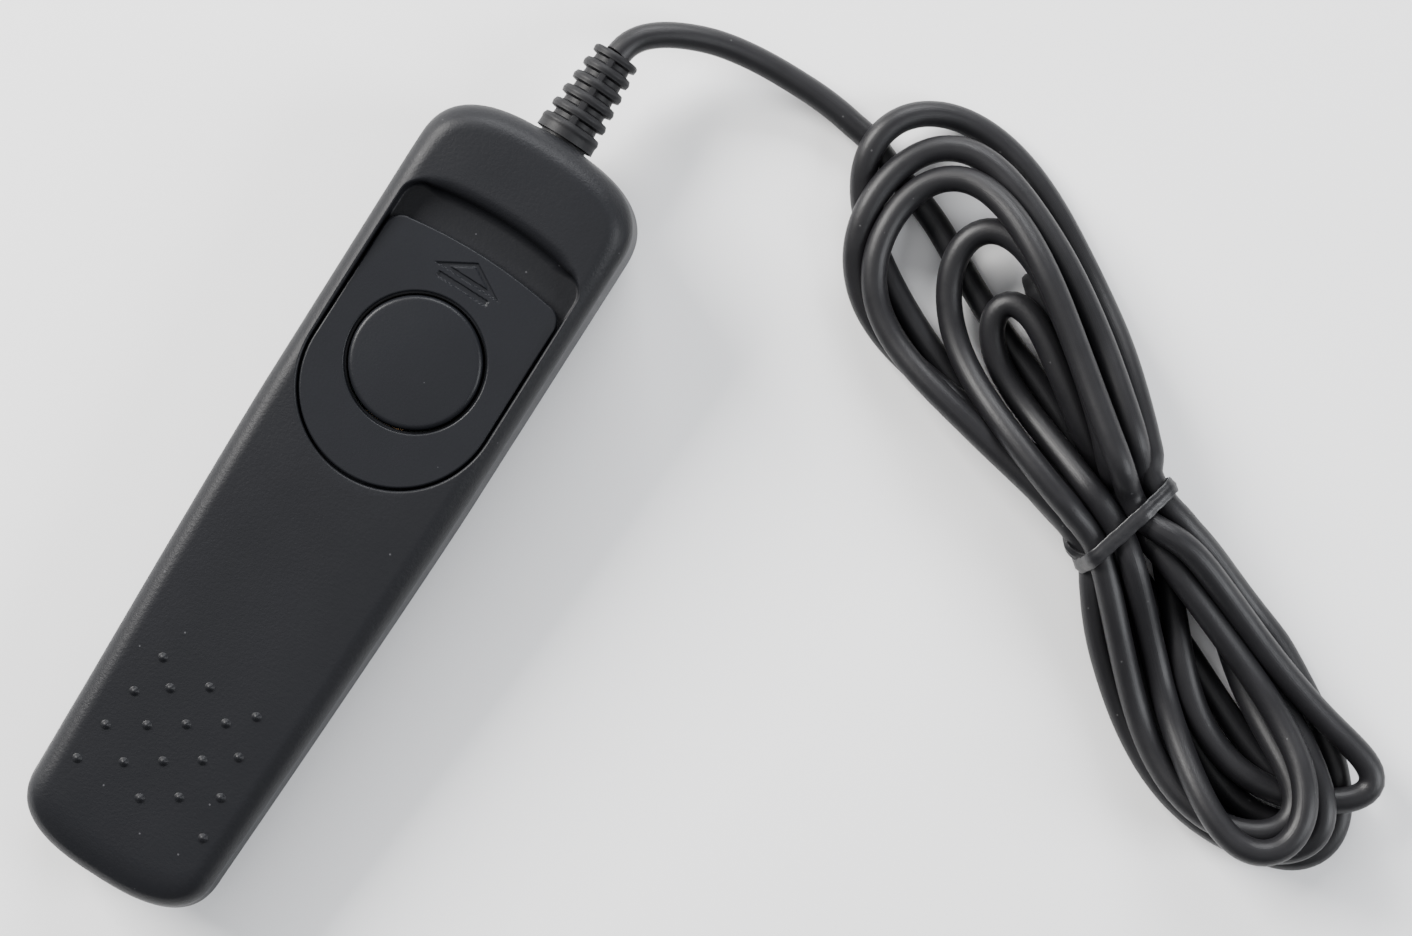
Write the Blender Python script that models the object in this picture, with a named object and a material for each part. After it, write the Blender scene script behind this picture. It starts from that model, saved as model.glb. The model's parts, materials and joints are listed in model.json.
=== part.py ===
"""Wired shutter release: a two-part handset with a sliding button carriage over a leaf switch,
and its cord folded into a tied hank with a stereo jack plug. Metres, +Z up.

The handset lies on its back along Y with its cord end at +Y. The origin is at the bottom
centre of the handset and its strain relief. The cord runs out to +X.
"""
import math

import bmesh
import bpy
import numpy as np

MM = 0.001
GAP = 0.3 * MM                    # clearance between neighbouring pieces

# Handset
HANDSET_LENGTH = 94 * MM
HEAD_HALF_WIDTH = 13 * MM
TAIL_HALF_WIDTH = 11.7 * MM
TAPER_START = 55 * MM             # from the tail end, where the sides begin to draw in
TAIL_ROUND = 7 * MM               # length of the rounded end at the tail
HEAD_ROUND = 8 * MM
END_POWER = 2.65                  # squareness of both rounded ends
SPLIT_Z = 8 * MM                  # parting plane between the shells
TAIL_TOP_Z = 12.2 * MM
HEAD_TOP_Z = 17 * MM
TOP_FILLET = 2.4 * MM
BOTTOM_FILLET = 3 * MM
DRAFT = 0.3 * MM                  # the walls lean in by this much
WALL = 1.6 * MM

# Strain relief and cord
RELIEF_LENGTH = 11.1 * MM
RELIEF_BASE_RADIUS = 3.45 * MM
RELIEF_NECK_RADIUS = 2.75 * MM
CORD_RADIUS = 1.45 * MM
CORD_BORE_RADIUS = CORD_RADIUS + GAP
TAIL_Y = -(HANDSET_LENGTH + RELIEF_LENGTH) / 2
HEAD_Y = TAIL_Y + HANDSET_LENGTH
RELIEF_TIP_Y = HEAD_Y + RELIEF_LENGTH

# Slider and button
BUTTON_Y = HEAD_Y - 28.5 * MM
BUTTON_RADIUS = 7.05 * MM
BUTTON_HOLE_RADIUS = 7.6 * MM
PLATE_HALF_WIDTH = 10.65 * MM
PLATE_ROUND_Y = BUTTON_Y - 3.2 * MM      # centre of the plate's round bottom
PLATE_TOP_Y = BUTTON_Y + 13.4 * MM
PLATE_Z = (13.9 * MM, 14.9 * MM)
RECESS_FLOOR_Z = (12.4 * MM, 13.6 * MM)
RECESS_TOP_Y = HEAD_Y - 10.8 * MM
RETAINER_Z = (10.3 * MM, 11.2 * MM)
BUTTON_CROWN_Z = 15.4 * MM
STEM_RADIUS = 1.2 * MM
STEM_BOTTOM_Z = 9 * MM

# Leaf switch and its board
LEAF_ROOT_Y = BUTTON_Y - 16 * MM
LEAF_THICKNESS = 0.25 * MM
COMMON_LEAF_Z = 8.45 * MM
FOCUS_LEAF_Z = 7.2 * MM
SHUTTER_LEAF_Z = 4.75 * MM
BOARD_Z = (3.4 * MM, 4.4 * MM)

# Hank: its long axis is turned from +X about the tie
TIE_X, TIE_Y = 72.8 * MM, 39.4 * MM
HANK_ANGLE = math.radians(-25)
HANK_Z = (0, 10.4 * MM)
TIE_GROOVE_Z = 1.1 * MM             # the tie passes below the hank in a groove this deep
WAIST_HALF_WIDTH = 6.6 * MM


def clear_scene():
    for old in list(bpy.data.objects):
        bpy.data.objects.remove(old, do_unlink=True)


def material(name, color, roughness, metallic=0.0):
    made = bpy.data.materials.new(name)
    made.use_nodes = True
    shader = made.node_tree.nodes["Principled BSDF"]
    shader.inputs["Base Color"].default_value = (*color, 1)
    shader.inputs["Roughness"].default_value = roughness
    shader.inputs["Metallic"].default_value = metallic
    made.diffuse_color = (*color, 1)
    return made


def solid(name, points, faces, finish):
    """A mesh object from points and faces, with doubled points merged and faces pointing out."""
    mesh = bpy.data.meshes.new(name)
    mesh.from_pydata([tuple(point) for point in points], [], faces)
    work = bmesh.new()
    work.from_mesh(mesh)
    bmesh.ops.remove_doubles(work, verts=work.verts, dist=1e-6)
    bmesh.ops.recalc_face_normals(work, faces=work.faces)
    work.to_mesh(mesh)
    work.free()
    mesh.shade_smooth()
    mesh.set_sharp_from_angle(angle=math.radians(35))
    made = bpy.data.objects.new(name, mesh)
    bpy.context.collection.objects.link(made)
    made.data.materials.append(finish)
    return made


def stacked(name, rings, finish):
    """A solid through rings of equal point count, closed by its first and last ring."""
    count = len(rings[0])
    points = [point for ring in rings for point in ring]
    faces = [[k * count + i, k * count + (i + 1) % count,
              (k + 1) * count + (i + 1) % count, (k + 1) * count + i]
             for k in range(len(rings) - 1) for i in range(count)]
    faces += [list(range(count)), list(range(len(points) - count, len(points)))]
    return solid(name, points, faces, finish)


def prism(name, outline, low, high, finish):
    return stacked(name, [[(x, y, z) for x, y in outline] for z in (low, high)], finish)


def block(name, low, high, finish):
    corners = [(low[0], low[1]), (high[0], low[1]), (high[0], high[1]), (low[0], high[1])]
    return prism(name, corners, low[2], high[2], finish)


def turned(name, profile, center, finish, axis="z", steps=24):
    """A turned solid. The profile is pairs of radius and distance along the axis."""
    rings = []
    for i in range(steps):
        angle = 2 * math.pi * i / steps
        c, s = math.cos(angle), math.sin(angle)
        for radius, along in profile:
            local = (radius * c, radius * s, along) if axis == "z" else (radius * c, along, radius * s)
            rings.append([center[k] + local[k] for k in range(3)])
    count = len(profile)
    faces = [[i * count + k, i * count + (k + 1) % count,
              (i + 1) % steps * count + (k + 1) % count, (i + 1) % steps * count + k]
             for i in range(steps) for k in range(count)]
    return clean_solid(name, rings, faces, finish)


def clean_solid(name, points, faces, finish):
    """A solid whose profile may touch its axis: collapsed faces are dissolved."""
    made = solid(name, points, faces, finish)
    work = bmesh.new()
    work.from_mesh(made.data)
    bmesh.ops.dissolve_degenerate(work, edges=work.edges, dist=1e-6)
    bmesh.ops.recalc_face_normals(work, faces=work.faces)
    work.to_mesh(made.data)
    work.free()
    return made


def rod(name, radius, center, low, high, finish, axis="z", steps=20):
    profile = [(0, low), (radius, low), (radius, high), (0, high)]
    return turned(name, profile, center, finish, axis, steps)


def combine(target, operation, *tools):
    """Cut or join each tool with target. The tools stay in the scene as hidden guides."""
    for tool in tools:
        step = target.modifiers.new(tool.name, "BOOLEAN")
        step.operation = operation
        step.object = tool
        tool.hide_render = True
        tool.display_type = "WIRE"
    return target


def tube(name, points, radius, finish, ends=2):
    """A round cord through the points."""
    curve = bpy.data.curves.new(name, "CURVE")
    curve.dimensions = "3D"
    curve.bevel_depth = radius
    curve.bevel_resolution = ends
    curve.use_fill_caps = True
    curve.render_resolution_u = 0
    spline = curve.splines.new("POLY")
    spline.points.add(len(points) - 1)
    for knot, point in zip(spline.points, points):
        knot.co = (*point, 1)
    made = bpy.data.objects.new(name, curve)
    bpy.context.collection.objects.link(made)
    curve.materials.append(finish)
    return made


def smooth_route(knots, spacing):
    """Points at even spacing on the Catmull-Rom curve through the knots."""
    knots = np.array(knots, float)
    padded = np.vstack([2 * knots[0] - knots[1], knots, 2 * knots[-1] - knots[-2]])
    t = np.linspace(0, 1, 25)[:-1, None]
    pieces = []
    for a, b, c, d in zip(padded[:-3], padded[1:-2], padded[2:-1], padded[3:]):
        pieces.append(0.5 * (2 * b + (c - a) * t + (2 * a - 5 * b + 4 * c - d) * t ** 2
                             + (3 * b - a - 3 * c + d) * t ** 3))
    dense = np.vstack(pieces + [knots[-1:]])
    along = np.concatenate([[0], np.cumsum(np.linalg.norm(np.diff(dense, axis=0), axis=1))])
    even = np.linspace(0, along[-1], max(2, round(along[-1] / spacing)) + 1)
    return np.column_stack([np.interp(even, along, dense[:, k]) for k in range(3)])


# Handset outline and shells

def half_width(y):
    """Half the handset's width: full at the head, drawn in along a soft curve to the tail."""
    drawn = max(0.0, TAIL_Y + TAPER_START - y) / (TAPER_START - TAIL_ROUND)
    return HEAD_HALF_WIDTH - (HEAD_HALF_WIDTH - TAIL_HALF_WIDTH) * min(drawn, 1) ** 1.3


def handset_outline(inset, end_steps=9, side_steps=8):
    """The plan outline, moved in by inset: superellipse ends joined by the tapered sides."""
    right = []
    for i in range(end_steps):
        angle = math.pi / 2 * (i + 0.5) / end_steps
        across = (TAIL_HALF_WIDTH - inset) * math.sin(angle) ** (2 / END_POWER)
        drop = (TAIL_ROUND - inset) * math.cos(angle) ** (2 / END_POWER)
        right.append((across, TAIL_Y + TAIL_ROUND - drop))
    for y in np.linspace(TAIL_Y + TAIL_ROUND, HEAD_Y - HEAD_ROUND, side_steps):
        right.append((half_width(y) - inset, y))
    for i in range(end_steps):
        angle = math.pi / 2 * (end_steps - i - 0.5) / end_steps
        across = (HEAD_HALF_WIDTH - inset) * math.sin(angle) ** (2 / END_POWER)
        rise = (HEAD_ROUND - inset) * math.cos(angle) ** (2 / END_POWER)
        right.append((across, HEAD_Y - HEAD_ROUND + rise))
    return right + [(-x, y) for x, y in reversed(right)]


def top_z(y):
    return TAIL_TOP_Z + (HEAD_TOP_Z - TAIL_TOP_Z) * (y - TAIL_Y) / HANDSET_LENGTH


def ceiling_z(y):
    """The inside of the upper shell: a wall below the top, and flat under the slider's floor."""
    return min(top_z(y) - WALL, RECESS_FLOOR_Z[0])


def handset_solid(name, rings, finish):
    """A closed body through (inset, height function) rings, capped by strips from side to side."""
    loops = [[(x, y, height(y)) for x, y in handset_outline(inset)] for inset, height in rings]
    count = len(loops[0])
    points = [point for loop in loops for point in loop]
    faces = [[k * count + i, k * count + (i + 1) % count,
              (k + 1) * count + (i + 1) % count, (k + 1) * count + i]
             for k in range(len(loops) - 1) for i in range(count)]
    for start in (0, len(points) - count):
        for i in range(count // 2 - 1):
            faces.append([start + i, start + i + 1, start + count - 2 - i, start + count - 1 - i])
    return solid(name, points, faces, finish)


def level(z):
    return lambda y: z


def fillet_rings(radius, edge, steps, start_inset):
    """Rings of a quarter-round edge. edge(y) is the flat face's height, above or below."""
    rings = []
    for i in range(steps + 1):
        angle = math.pi / 2 * i / steps
        inset = start_inset + radius * (1 - math.cos(angle))
        sink = radius * (1 - math.sin(angle))
        rings.append((inset, lambda y, sink=sink: edge(y, sink)))
    return rings


def shield(half_x, round_y, depth, top_y, arch, corner):
    """The slider's plan outline: half an ellipse below, straight sides and a low arched top."""
    outline = [(-half_x * math.cos(a), round_y - depth * math.sin(a))
               for a in np.linspace(0, math.pi, 25)]
    for a in np.linspace(0, math.pi / 2, 5):
        outline.append((half_x - corner + corner * math.cos(a),
                        top_y - arch - corner + corner * math.sin(a)))
    for x in np.linspace(half_x - corner, corner - half_x, 9)[1:-1]:
        outline.append((x, top_y - arch * (x / (half_x - corner)) ** 2))
    for a in np.linspace(math.pi / 2, math.pi, 5):
        outline.append((corner - half_x + corner * math.cos(a),
                        top_y - arch - corner + corner * math.sin(a)))
    return outline


def grip_dots(finish):
    """Low domes in seven rows across the tail, three and two to a row by turns."""
    first_row, pitch, radius, height = HEAD_Y - 69.45 * MM, 2.35 * MM, 0.5 * MM, 0.3 * MM
    points, faces = [], []
    sides = 8
    for row in range(7):
        spread = (5.9 + 0.34 * row) * MM
        across = (-spread, 0, spread) if row % 2 == 0 else (-3.5 * MM, 3.5 * MM)
        for x in across:
            y = first_row - row * pitch
            base = len(points)
            for share, rise in ((1, -0.4 * MM), (1, 0), (0.65, height * 0.75)):
                for i in range(sides):
                    a = 2 * math.pi * i / sides
                    points.append((x + radius * share * math.cos(a), y + radius * share * math.sin(a),
                                   top_z(y) + rise))
            for ring in range(2):
                for i in range(sides):
                    low, high = base + ring * sides, base + (ring + 1) * sides
                    faces.append([low + i, low + (i + 1) % sides, high + (i + 1) % sides, high + i])
            faces.append(list(range(base, base + sides)))
            faces.append(list(range(base + 2 * sides, base + 3 * sides)))
    return solid("grip_dot_guides", points, faces, finish)


def case_screw_places():
    return [(side * across, y) for y, across in ((TAIL_Y + 10 * MM, 7.6 * MM), (HEAD_Y - 8 * MM, 8 * MM))
            for side in (-1, 1)]


def make_shells(plastic):
    upper = handset_solid("upper_shell", [(0, level(SPLIT_Z + GAP / 2))]
                          + fillet_rings(TOP_FILLET, lambda y, sink: top_z(y) - sink, 5, DRAFT), plastic)
    hollow = handset_solid("upper_hollow_guide", [(WALL, level(SPLIT_Z - 3 * MM)),
                                                  (WALL + DRAFT, ceiling_z)], plastic)
    head_pocket = block("head_pocket_guide", (-9 * MM, HEAD_Y - 9 * MM, RECESS_FLOOR_Z[0] - 1 * MM),
                        (9 * MM, HEAD_Y - 3.4 * MM, HEAD_TOP_Z - 2.2 * MM), plastic)
    recess = prism("recess_guide", shield(PLATE_HALF_WIDTH + GAP, PLATE_ROUND_Y, PLATE_HALF_WIDTH + GAP,
                                          RECESS_TOP_Y, 0.9 * MM, 2.4 * MM),
                   RECESS_FLOOR_Z[1], HEAD_TOP_Z + 2 * MM, plastic)
    window = prism("window_guide", shield(9.4 * MM, BUTTON_Y + 0.3 * MM, 7.6 * MM,
                                          BUTTON_Y + 12.1 * MM, 0.3 * MM, 1.2 * MM),
                   RECESS_FLOOR_Z[0] - 2 * MM, RECESS_FLOOR_Z[1] + 1 * MM, plastic)
    combine(upper, "DIFFERENCE", hollow, head_pocket, recess, window)
    combine(upper, "UNION", grip_dots(plastic))

    lower = handset_solid("lower_shell",
                          fillet_rings(BOTTOM_FILLET, lambda y, sink: sink, 5, DRAFT)[::-1]
                          + [(0, level(SPLIT_Z - GAP / 2))], plastic)
    tub = handset_solid("lower_hollow_guide",
                        [(WALL + 1.2 * MM, level(WALL)), (WALL + DRAFT, level(WALL + 1.2 * MM)),
                         (WALL, level(SPLIT_Z + 3 * MM))], plastic)
    combine(lower, "DIFFERENCE", tub)

    for k, (x, y) in enumerate(case_screw_places()):
        pillar = rod(f"upper_pillar_guide_{k}", 2.2 * MM, (x, y, 0), SPLIT_Z + GAP / 2,
                     ceiling_z(y) + 0.8 * MM, plastic)
        pilot = rod(f"upper_pilot_guide_{k}", 1.3 * MM, (x, y, 0), SPLIT_Z - 1 * MM, 11.5 * MM if y > 0
                    else 10.4 * MM, plastic, steps=12)
        boss = rod(f"lower_boss_guide_{k}", 2.7 * MM, (x, y, 0), 0.8 * MM, SPLIT_Z - GAP / 2, plastic)
        through = turned(f"lower_screw_hole_guide_{k}", [(0, -1 * MM), (2.05 * MM, -1 * MM),
                         (2.05 * MM, 2 * MM), (1.3 * MM, 2 * MM), (1.3 * MM, SPLIT_Z + 1 * MM),
                         (0, SPLIT_Z + 1 * MM)], (x, y, 0), plastic, steps=16)
        combine(upper, "UNION", pillar)
        combine(upper, "DIFFERENCE", pilot)
        combine(lower, "UNION", boss)
        combine(lower, "DIFFERENCE", through)

    for k, (x, y) in enumerate(board_screw_places()):
        post = rod(f"board_post_guide_{k}", 1.7 * MM, (x, y, 0), 0.8 * MM, BOARD_Z[0] - GAP, plastic,
                   steps=16)
        pilot = rod(f"board_pilot_guide_{k}", 0.9 * MM, (x, y, 0), 1.6 * MM, BOARD_Z[1], plastic, steps=12)
        combine(lower, "UNION", post)
        combine(lower, "DIFFERENCE", pilot)

    for shell in (upper, lower):
        mouth = rod(f"{shell.name}_cord_mouth_guide", RELIEF_NECK_RADIUS + GAP, (0, HEAD_Y, SPLIT_Z),
                    -4 * MM, 2 * MM, plastic, axis="y", steps=24)
        combine(shell, "DIFFERENCE", mouth)


# Slider, button and spring

def make_slider(plastic):
    plate = prism("hold_slider", shield(PLATE_HALF_WIDTH, PLATE_ROUND_Y, PLATE_HALF_WIDTH,
                                        PLATE_TOP_Y, 0.7 * MM, 2 * MM), *PLATE_Z, plastic)
    for side in (-1, 1):
        inner, outer = sorted((side * 7.95 * MM, side * 9.05 * MM))
        leg = block(f"slider_leg_guide_{side}", (inner, BUTTON_Y + 2.6 * MM, RETAINER_Z[0] - 0.2 * MM),
                    (outer, BUTTON_Y + 7.3 * MM, PLATE_Z[0] + 0.4 * MM), plastic)
        combine(plate, "UNION", leg)
    hole = rod("button_hole_guide", BUTTON_HOLE_RADIUS, (0, BUTTON_Y, 0), PLATE_Z[0] - 1 * MM,
               PLATE_Z[1] + 1 * MM, plastic, steps=40)
    combine(plate, "DIFFERENCE", hole)


def make_retainer(plastic):
    """The flat carriage under the floor: it grips the slider's legs and seats the spring."""
    low_y, high_y = BUTTON_Y - 4.5 * MM, BUTTON_Y + 8.8 * MM
    plate = block("slider_retainer", (-10.4 * MM, low_y, RETAINER_Z[0]), (10.4 * MM, high_y, RETAINER_Z[1]),
                  plastic)
    for side in (-1, 1):
        inner, outer = sorted((side * 9.6 * MM, side * 10.4 * MM))
        rail = block(f"rail_guide_{side}", (inner, low_y, RETAINER_Z[0] + 0.2 * MM),
                     (outer, high_y, RECESS_FLOOR_Z[0] - GAP), plastic)
        inner, outer = sorted((side * 7.65 * MM, side * 9.35 * MM))
        slot = block(f"leg_slot_guide_{side}", (inner, BUTTON_Y + 2.3 * MM, RETAINER_Z[0] - 1 * MM),
                     (outer, BUTTON_Y + 7.6 * MM, RETAINER_Z[1] + 1 * MM), plastic)
        combine(plate, "UNION", rail)
        combine(plate, "DIFFERENCE", slot)
    bore = rod("stem_bore_guide", STEM_RADIUS + GAP, (0, BUTTON_Y, 0), RETAINER_Z[0] - 1 * MM,
               RETAINER_Z[1] + 1 * MM, plastic, steps=20)
    combine(plate, "DIFFERENCE", bore)


def make_button(plastic):
    """A low domed cap, hollow below, on a stem whose barb holds it under the retainer."""
    rim_z, crown = 14.95 * MM, BUTTON_CROWN_Z
    dome = [(0, crown)] + [(BUTTON_RADIUS * 0.93 * s, crown - (crown - rim_z) * 0.85 * s ** 2)
                           for s in (0.3, 0.6, 0.85, 1)]
    barb_z = RETAINER_Z[0] - GAP
    profile = dome + [(BUTTON_RADIUS * 0.99, rim_z - 0.15 * MM), (BUTTON_RADIUS, rim_z - 0.5 * MM),
                      (BUTTON_RADIUS, 13.2 * MM), (6.3 * MM, 13.2 * MM), (6.3 * MM, 14.1 * MM),
                      (STEM_RADIUS, 14.1 * MM), (STEM_RADIUS, barb_z), (1.8 * MM, barb_z),
                      (1.8 * MM, barb_z - 0.5 * MM), (STEM_RADIUS, STEM_BOTTOM_Z), (0, STEM_BOTTOM_Z)]
    turned("shutter_button", profile, (0, BUTTON_Y, 0), plastic, steps=40)


def make_spring(steel):
    """A coil of three and a half turns around the stem, between the retainer and the cap."""
    turns, wire, radius = 3.5, 0.16 * MM, 2.6 * MM
    low, high = RETAINER_Z[1] + 0.1 * MM + wire, 14.1 * MM - 0.1 * MM - wire
    steps = int(turns * 14)
    points = [(radius * math.cos(2 * math.pi * turns * i / steps),
               BUTTON_Y + radius * math.sin(2 * math.pi * turns * i / steps),
               low + (high - low) * i / steps) for i in range(steps + 1)]
    tube("button_spring", points, wire, steel, ends=1)


# Switch

def board_screw_places():
    return [(5.4 * MM, LEAF_ROOT_Y - 5 * MM), (-5.4 * MM, HEAD_Y - 16 * MM)]


def make_board(laminate, steel):
    board = block("circuit_board", (-7.4 * MM, LEAF_ROOT_Y - 7.4 * MM, BOARD_Z[0]),
                  (7.4 * MM, HEAD_Y - 13.6 * MM, BOARD_Z[1]), laminate)
    for k, (x, y) in enumerate(board_screw_places()):
        hole = rod(f"board_hole_guide_{k}", 0.9 * MM, (x, y, 0), BOARD_Z[0] - 1 * MM, BOARD_Z[1] + 1 * MM,
                   laminate, steps=16)
        combine(board, "DIFFERENCE", hole)
        turned(f"board_screw_{k + 1}", [(0, 1.9 * MM), (0.6 * MM, 1.9 * MM), (0.6 * MM, BOARD_Z[1] + GAP),
                                        (1.4 * MM, BOARD_Z[1] + GAP), (1.4 * MM, BOARD_Z[1] + 0.8 * MM),
                                        (1 * MM, BOARD_Z[1] + 1.1 * MM), (0, BOARD_Z[1] + 1.1 * MM)],
               (x, y, 0), steel, steps=16)


def make_switch(insulation, bronze):
    tower = block("leaf_block", (-4 * MM, LEAF_ROOT_Y - 3.2 * MM, BOARD_Z[1] + GAP / 2 + 0.1 * MM),
                  (4 * MM, LEAF_ROOT_Y + 1.2 * MM, COMMON_LEAF_Z + 1.4 * MM), insulation)
    leaves = (("common_leaf", COMMON_LEAF_Z, 23.5 * MM, 2.2 * MM),
              ("focus_leaf", FOCUS_LEAF_Z, 23 * MM, 2 * MM),
              ("shutter_leaf", SHUTTER_LEAF_Z, 22 * MM, 2 * MM))
    for name, z, length, half in leaves:
        block(name, (-half, LEAF_ROOT_Y - 1.2 * MM, z), (half, LEAF_ROOT_Y + length, z + LEAF_THICKNESS),
              bronze)
        slot = block(f"{name}_slot_guide", (-half - GAP, LEAF_ROOT_Y - 5 * MM, z - GAP),
                     (half + GAP, LEAF_ROOT_Y + 3 * MM, z + LEAF_THICKNESS + GAP), insulation)
        combine(tower, "DIFFERENCE", slot)
    terminals = (("common_terminal", COMMON_LEAF_Z, 5.2 * MM), ("focus_terminal", FOCUS_LEAF_Z, 4.2 * MM))
    for name, z, reach in terminals:
        outline = [(-1.6 * MM, z), (-1.6 * MM, z + LEAF_THICKNESS), (-reach, z + LEAF_THICKNESS),
                   (-reach, BOARD_Z[1] + GAP), (LEAF_THICKNESS - reach, BOARD_Z[1] + GAP),
                   (LEAF_THICKNESS - reach, z)]
        stacked(name, [[(x, LEAF_ROOT_Y + along, height) for along, height in outline]
                       for x in (-1.5 * MM, 1.5 * MM)], bronze)


def make_wires(finishes):
    """Three fine wires from the end of the cord's jacket down to pads at the board's cord end."""
    for (name, finish), x in zip(finishes.items(), (-2.6 * MM, 0, 2.6 * MM)):
        start_y = HEAD_Y - 9.4 * MM
        knots = [(x * 0.34, start_y, SPLIT_Z), (x * 0.6, start_y - 1.6 * MM, SPLIT_Z - 0.3 * MM),
                 (x, start_y - 3.4 * MM, BOARD_Z[1] + 2.2 * MM), (x, start_y - 5 * MM, BOARD_Z[1] + 0.9 * MM),
                 (x, start_y - 6.6 * MM, BOARD_Z[1] + 0.75 * MM)]
        tube(name, smooth_route(knots, 1.1 * MM), 0.38 * MM, finish, ends=1)


# Fasteners, strain relief and cord

def make_case_screws(steel):
    for k, (x, y) in enumerate(case_screw_places()):
        top = 10.9 * MM if y > 0 else 9.9 * MM
        profile = [(0, 0.45 * MM), (1.5 * MM, 0.45 * MM), (1.75 * MM, 0.8 * MM), (1.75 * MM, 1.7 * MM),
                   (1 * MM, 1.7 * MM), (1 * MM, top - 0.6 * MM), (0.4 * MM, top), (0, top)]
        screw = turned(f"case_screw_{k + 1}", profile, (x, y, 0), steel, steps=16)
        for turn, (half_x, half_y) in enumerate(((1.1 * MM, 0.22 * MM), (0.22 * MM, 1.1 * MM))):
            slot = block(f"screw_slot_guide_{k}_{turn}", (x - half_x, y - half_y, 0),
                         (x + half_x, y + half_y, 1 * MM), steel)
            combine(screw, "DIFFERENCE", slot)


def make_relief(rubber):
    """A tapered, ribbed sleeve with a neck through the shells and a flange inside them."""
    base, tip, grooves, depth = RELIEF_BASE_RADIUS, 2.4 * MM, 5, 0.7 * MM
    collar = GAP
    profile = [(CORD_BORE_RADIUS, -4.6 * MM), (4.2 * MM, -4.6 * MM), (4.2 * MM, -2.9 * MM),
               (RELIEF_NECK_RADIUS, -2.9 * MM), (RELIEF_NECK_RADIUS, collar), (base, collar),
               (base * 0.97, collar + 1.5 * MM)]
    start, pitch = 2.1 * MM, 1.83 * MM
    for k in range(grooves):
        outer = base + (tip - base) * (k + 0.6) / grooves
        low = start + k * pitch
        profile += [(outer - depth, low + 0.1 * MM), (outer - depth, low + 0.65 * MM), (outer, low + 0.8 * MM)]
        if k < grooves - 1:
            profile.append((outer * 0.98, low + pitch))
    profile += [(tip, RELIEF_LENGTH), (CORD_BORE_RADIUS, RELIEF_LENGTH)]
    turned("strain_relief", profile, (0, HEAD_Y, SPLIT_Z), rubber, axis="y", steps=24)


def make_inner_cord(jacket, plastic):
    points = [(0, y, SPLIT_Z) for y in np.linspace(HEAD_Y - 8.9 * MM, RELIEF_TIP_Y - 0.1 * MM, 7)]
    tube("cable_inside", points, CORD_RADIUS, jacket)
    turned("cable_clamp", [(CORD_BORE_RADIUS, -7.9 * MM), (2.8 * MM, -7.9 * MM), (2.8 * MM, -5.6 * MM),
                           (CORD_BORE_RADIUS, -5.6 * MM)], (0, HEAD_Y, SPLIT_Z), plastic, axis="y", steps=20)


LEAD_KNOTS = [(0, RELIEF_TIP_Y + GAP, SPLIT_Z), (0.6 * MM, 54.8 * MM, 8 * MM), (1.5 * MM, 56 * MM, 7.7 * MM),
              (3 * MM, 57.3 * MM, 7.1 * MM), (5.2 * MM, 58.6 * MM, 6.2 * MM), (7.9 * MM, 59.75 * MM, 5.2 * MM),
              (10.8 * MM, 60.5 * MM, 4.2 * MM), (14.3 * MM, 61 * MM, 3.2 * MM), (18.1 * MM, 61.2 * MM, 2.4 * MM),
              (20.9 * MM, 61.2 * MM, 1.9 * MM), (23.4 * MM, 61 * MM, 1.65 * MM), (25.3 * MM, 60.7 * MM, 1.6 * MM)]


def hank_point(along, across):
    """A plan point from distances along and across the hank's axis, counted from its tie."""
    c, s = math.cos(HANK_ANGLE), math.sin(HANK_ANGLE)
    return TIE_X + along * c - across * s, TIE_Y + along * s + across * c


def hank_lobe(length, half, middle, steps=14):
    """One side of one lobe: half widths from the waist out, swelling, then closing in an ellipse."""
    rows = []
    for i in range(1, steps + 1):
        share = math.sin(math.pi / 2 * i / steps)
        swell = min(1, share / 0.62)
        swell = swell * swell * (3 - 2 * swell)
        width = WAIST_HALF_WIDTH + (half - WAIST_HALF_WIDTH) * swell
        if share > 0.62:
            width *= math.sqrt(max(0, 1 - ((share - 0.62) / 0.38) ** 2))
        rows.append((length * share, middle * swell, width))
    return rows


def make_hank(jacket):
    upper = hank_lobe(-50.6 * MM, 12.8 * MM, 0.5 * MM)
    lower = hank_lobe(43.9 * MM, 11.9 * MM, -1.9 * MM)
    top = [(u, m + w) for u, m, w in reversed(upper)] + [(0, WAIST_HALF_WIDTH)] \
        + [(u, m + w) for u, m, w in lower]
    under = [(u, m - w) for u, m, w in reversed(lower[:-1])] + [(0, -WAIST_HALF_WIDTH)] \
        + [(u, m - w) for u, m, w in upper[:-1]]
    outline = [hank_point(u, w + 0.6 * MM) for u, w in top + under]
    hank = prism("cable_hank", outline, *HANK_Z, jacket)
    rows = ((-3 * MM, 3.6 * MM), (28.4 * MM, 3.6 * MM), (28.4 * MM, 2.2 * MM), (38.4 * MM, 2.2 * MM))
    channel = plug_prism("plug_channel_guide", rows, jacket)
    corners = [hank_point(u, w) for u, w in ((-1.3 * MM, -9 * MM), (1.3 * MM, -9 * MM), (1.3 * MM, 9 * MM),
                                             (-1.3 * MM, 9 * MM))]
    groove = prism("tie_groove_guide", corners, -1 * MM, TIE_GROOVE_Z, jacket)
    combine(hank, "DIFFERENCE", channel, groove)


PLUG_START = (-9 * MM, 5.3 * MM)       # where the plug's grip begins, in the hank's plan
PLUG_ANGLE = HANK_ANGLE + math.pi - math.radians(9)
PLUG_Z = 3.2 * MM


def plug_point(along, across):
    x, y = hank_point(*PLUG_START)
    c, s = math.cos(PLUG_ANGLE), math.sin(PLUG_ANGLE)
    return x + along * c - across * s, y + along * s + across * c


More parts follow.
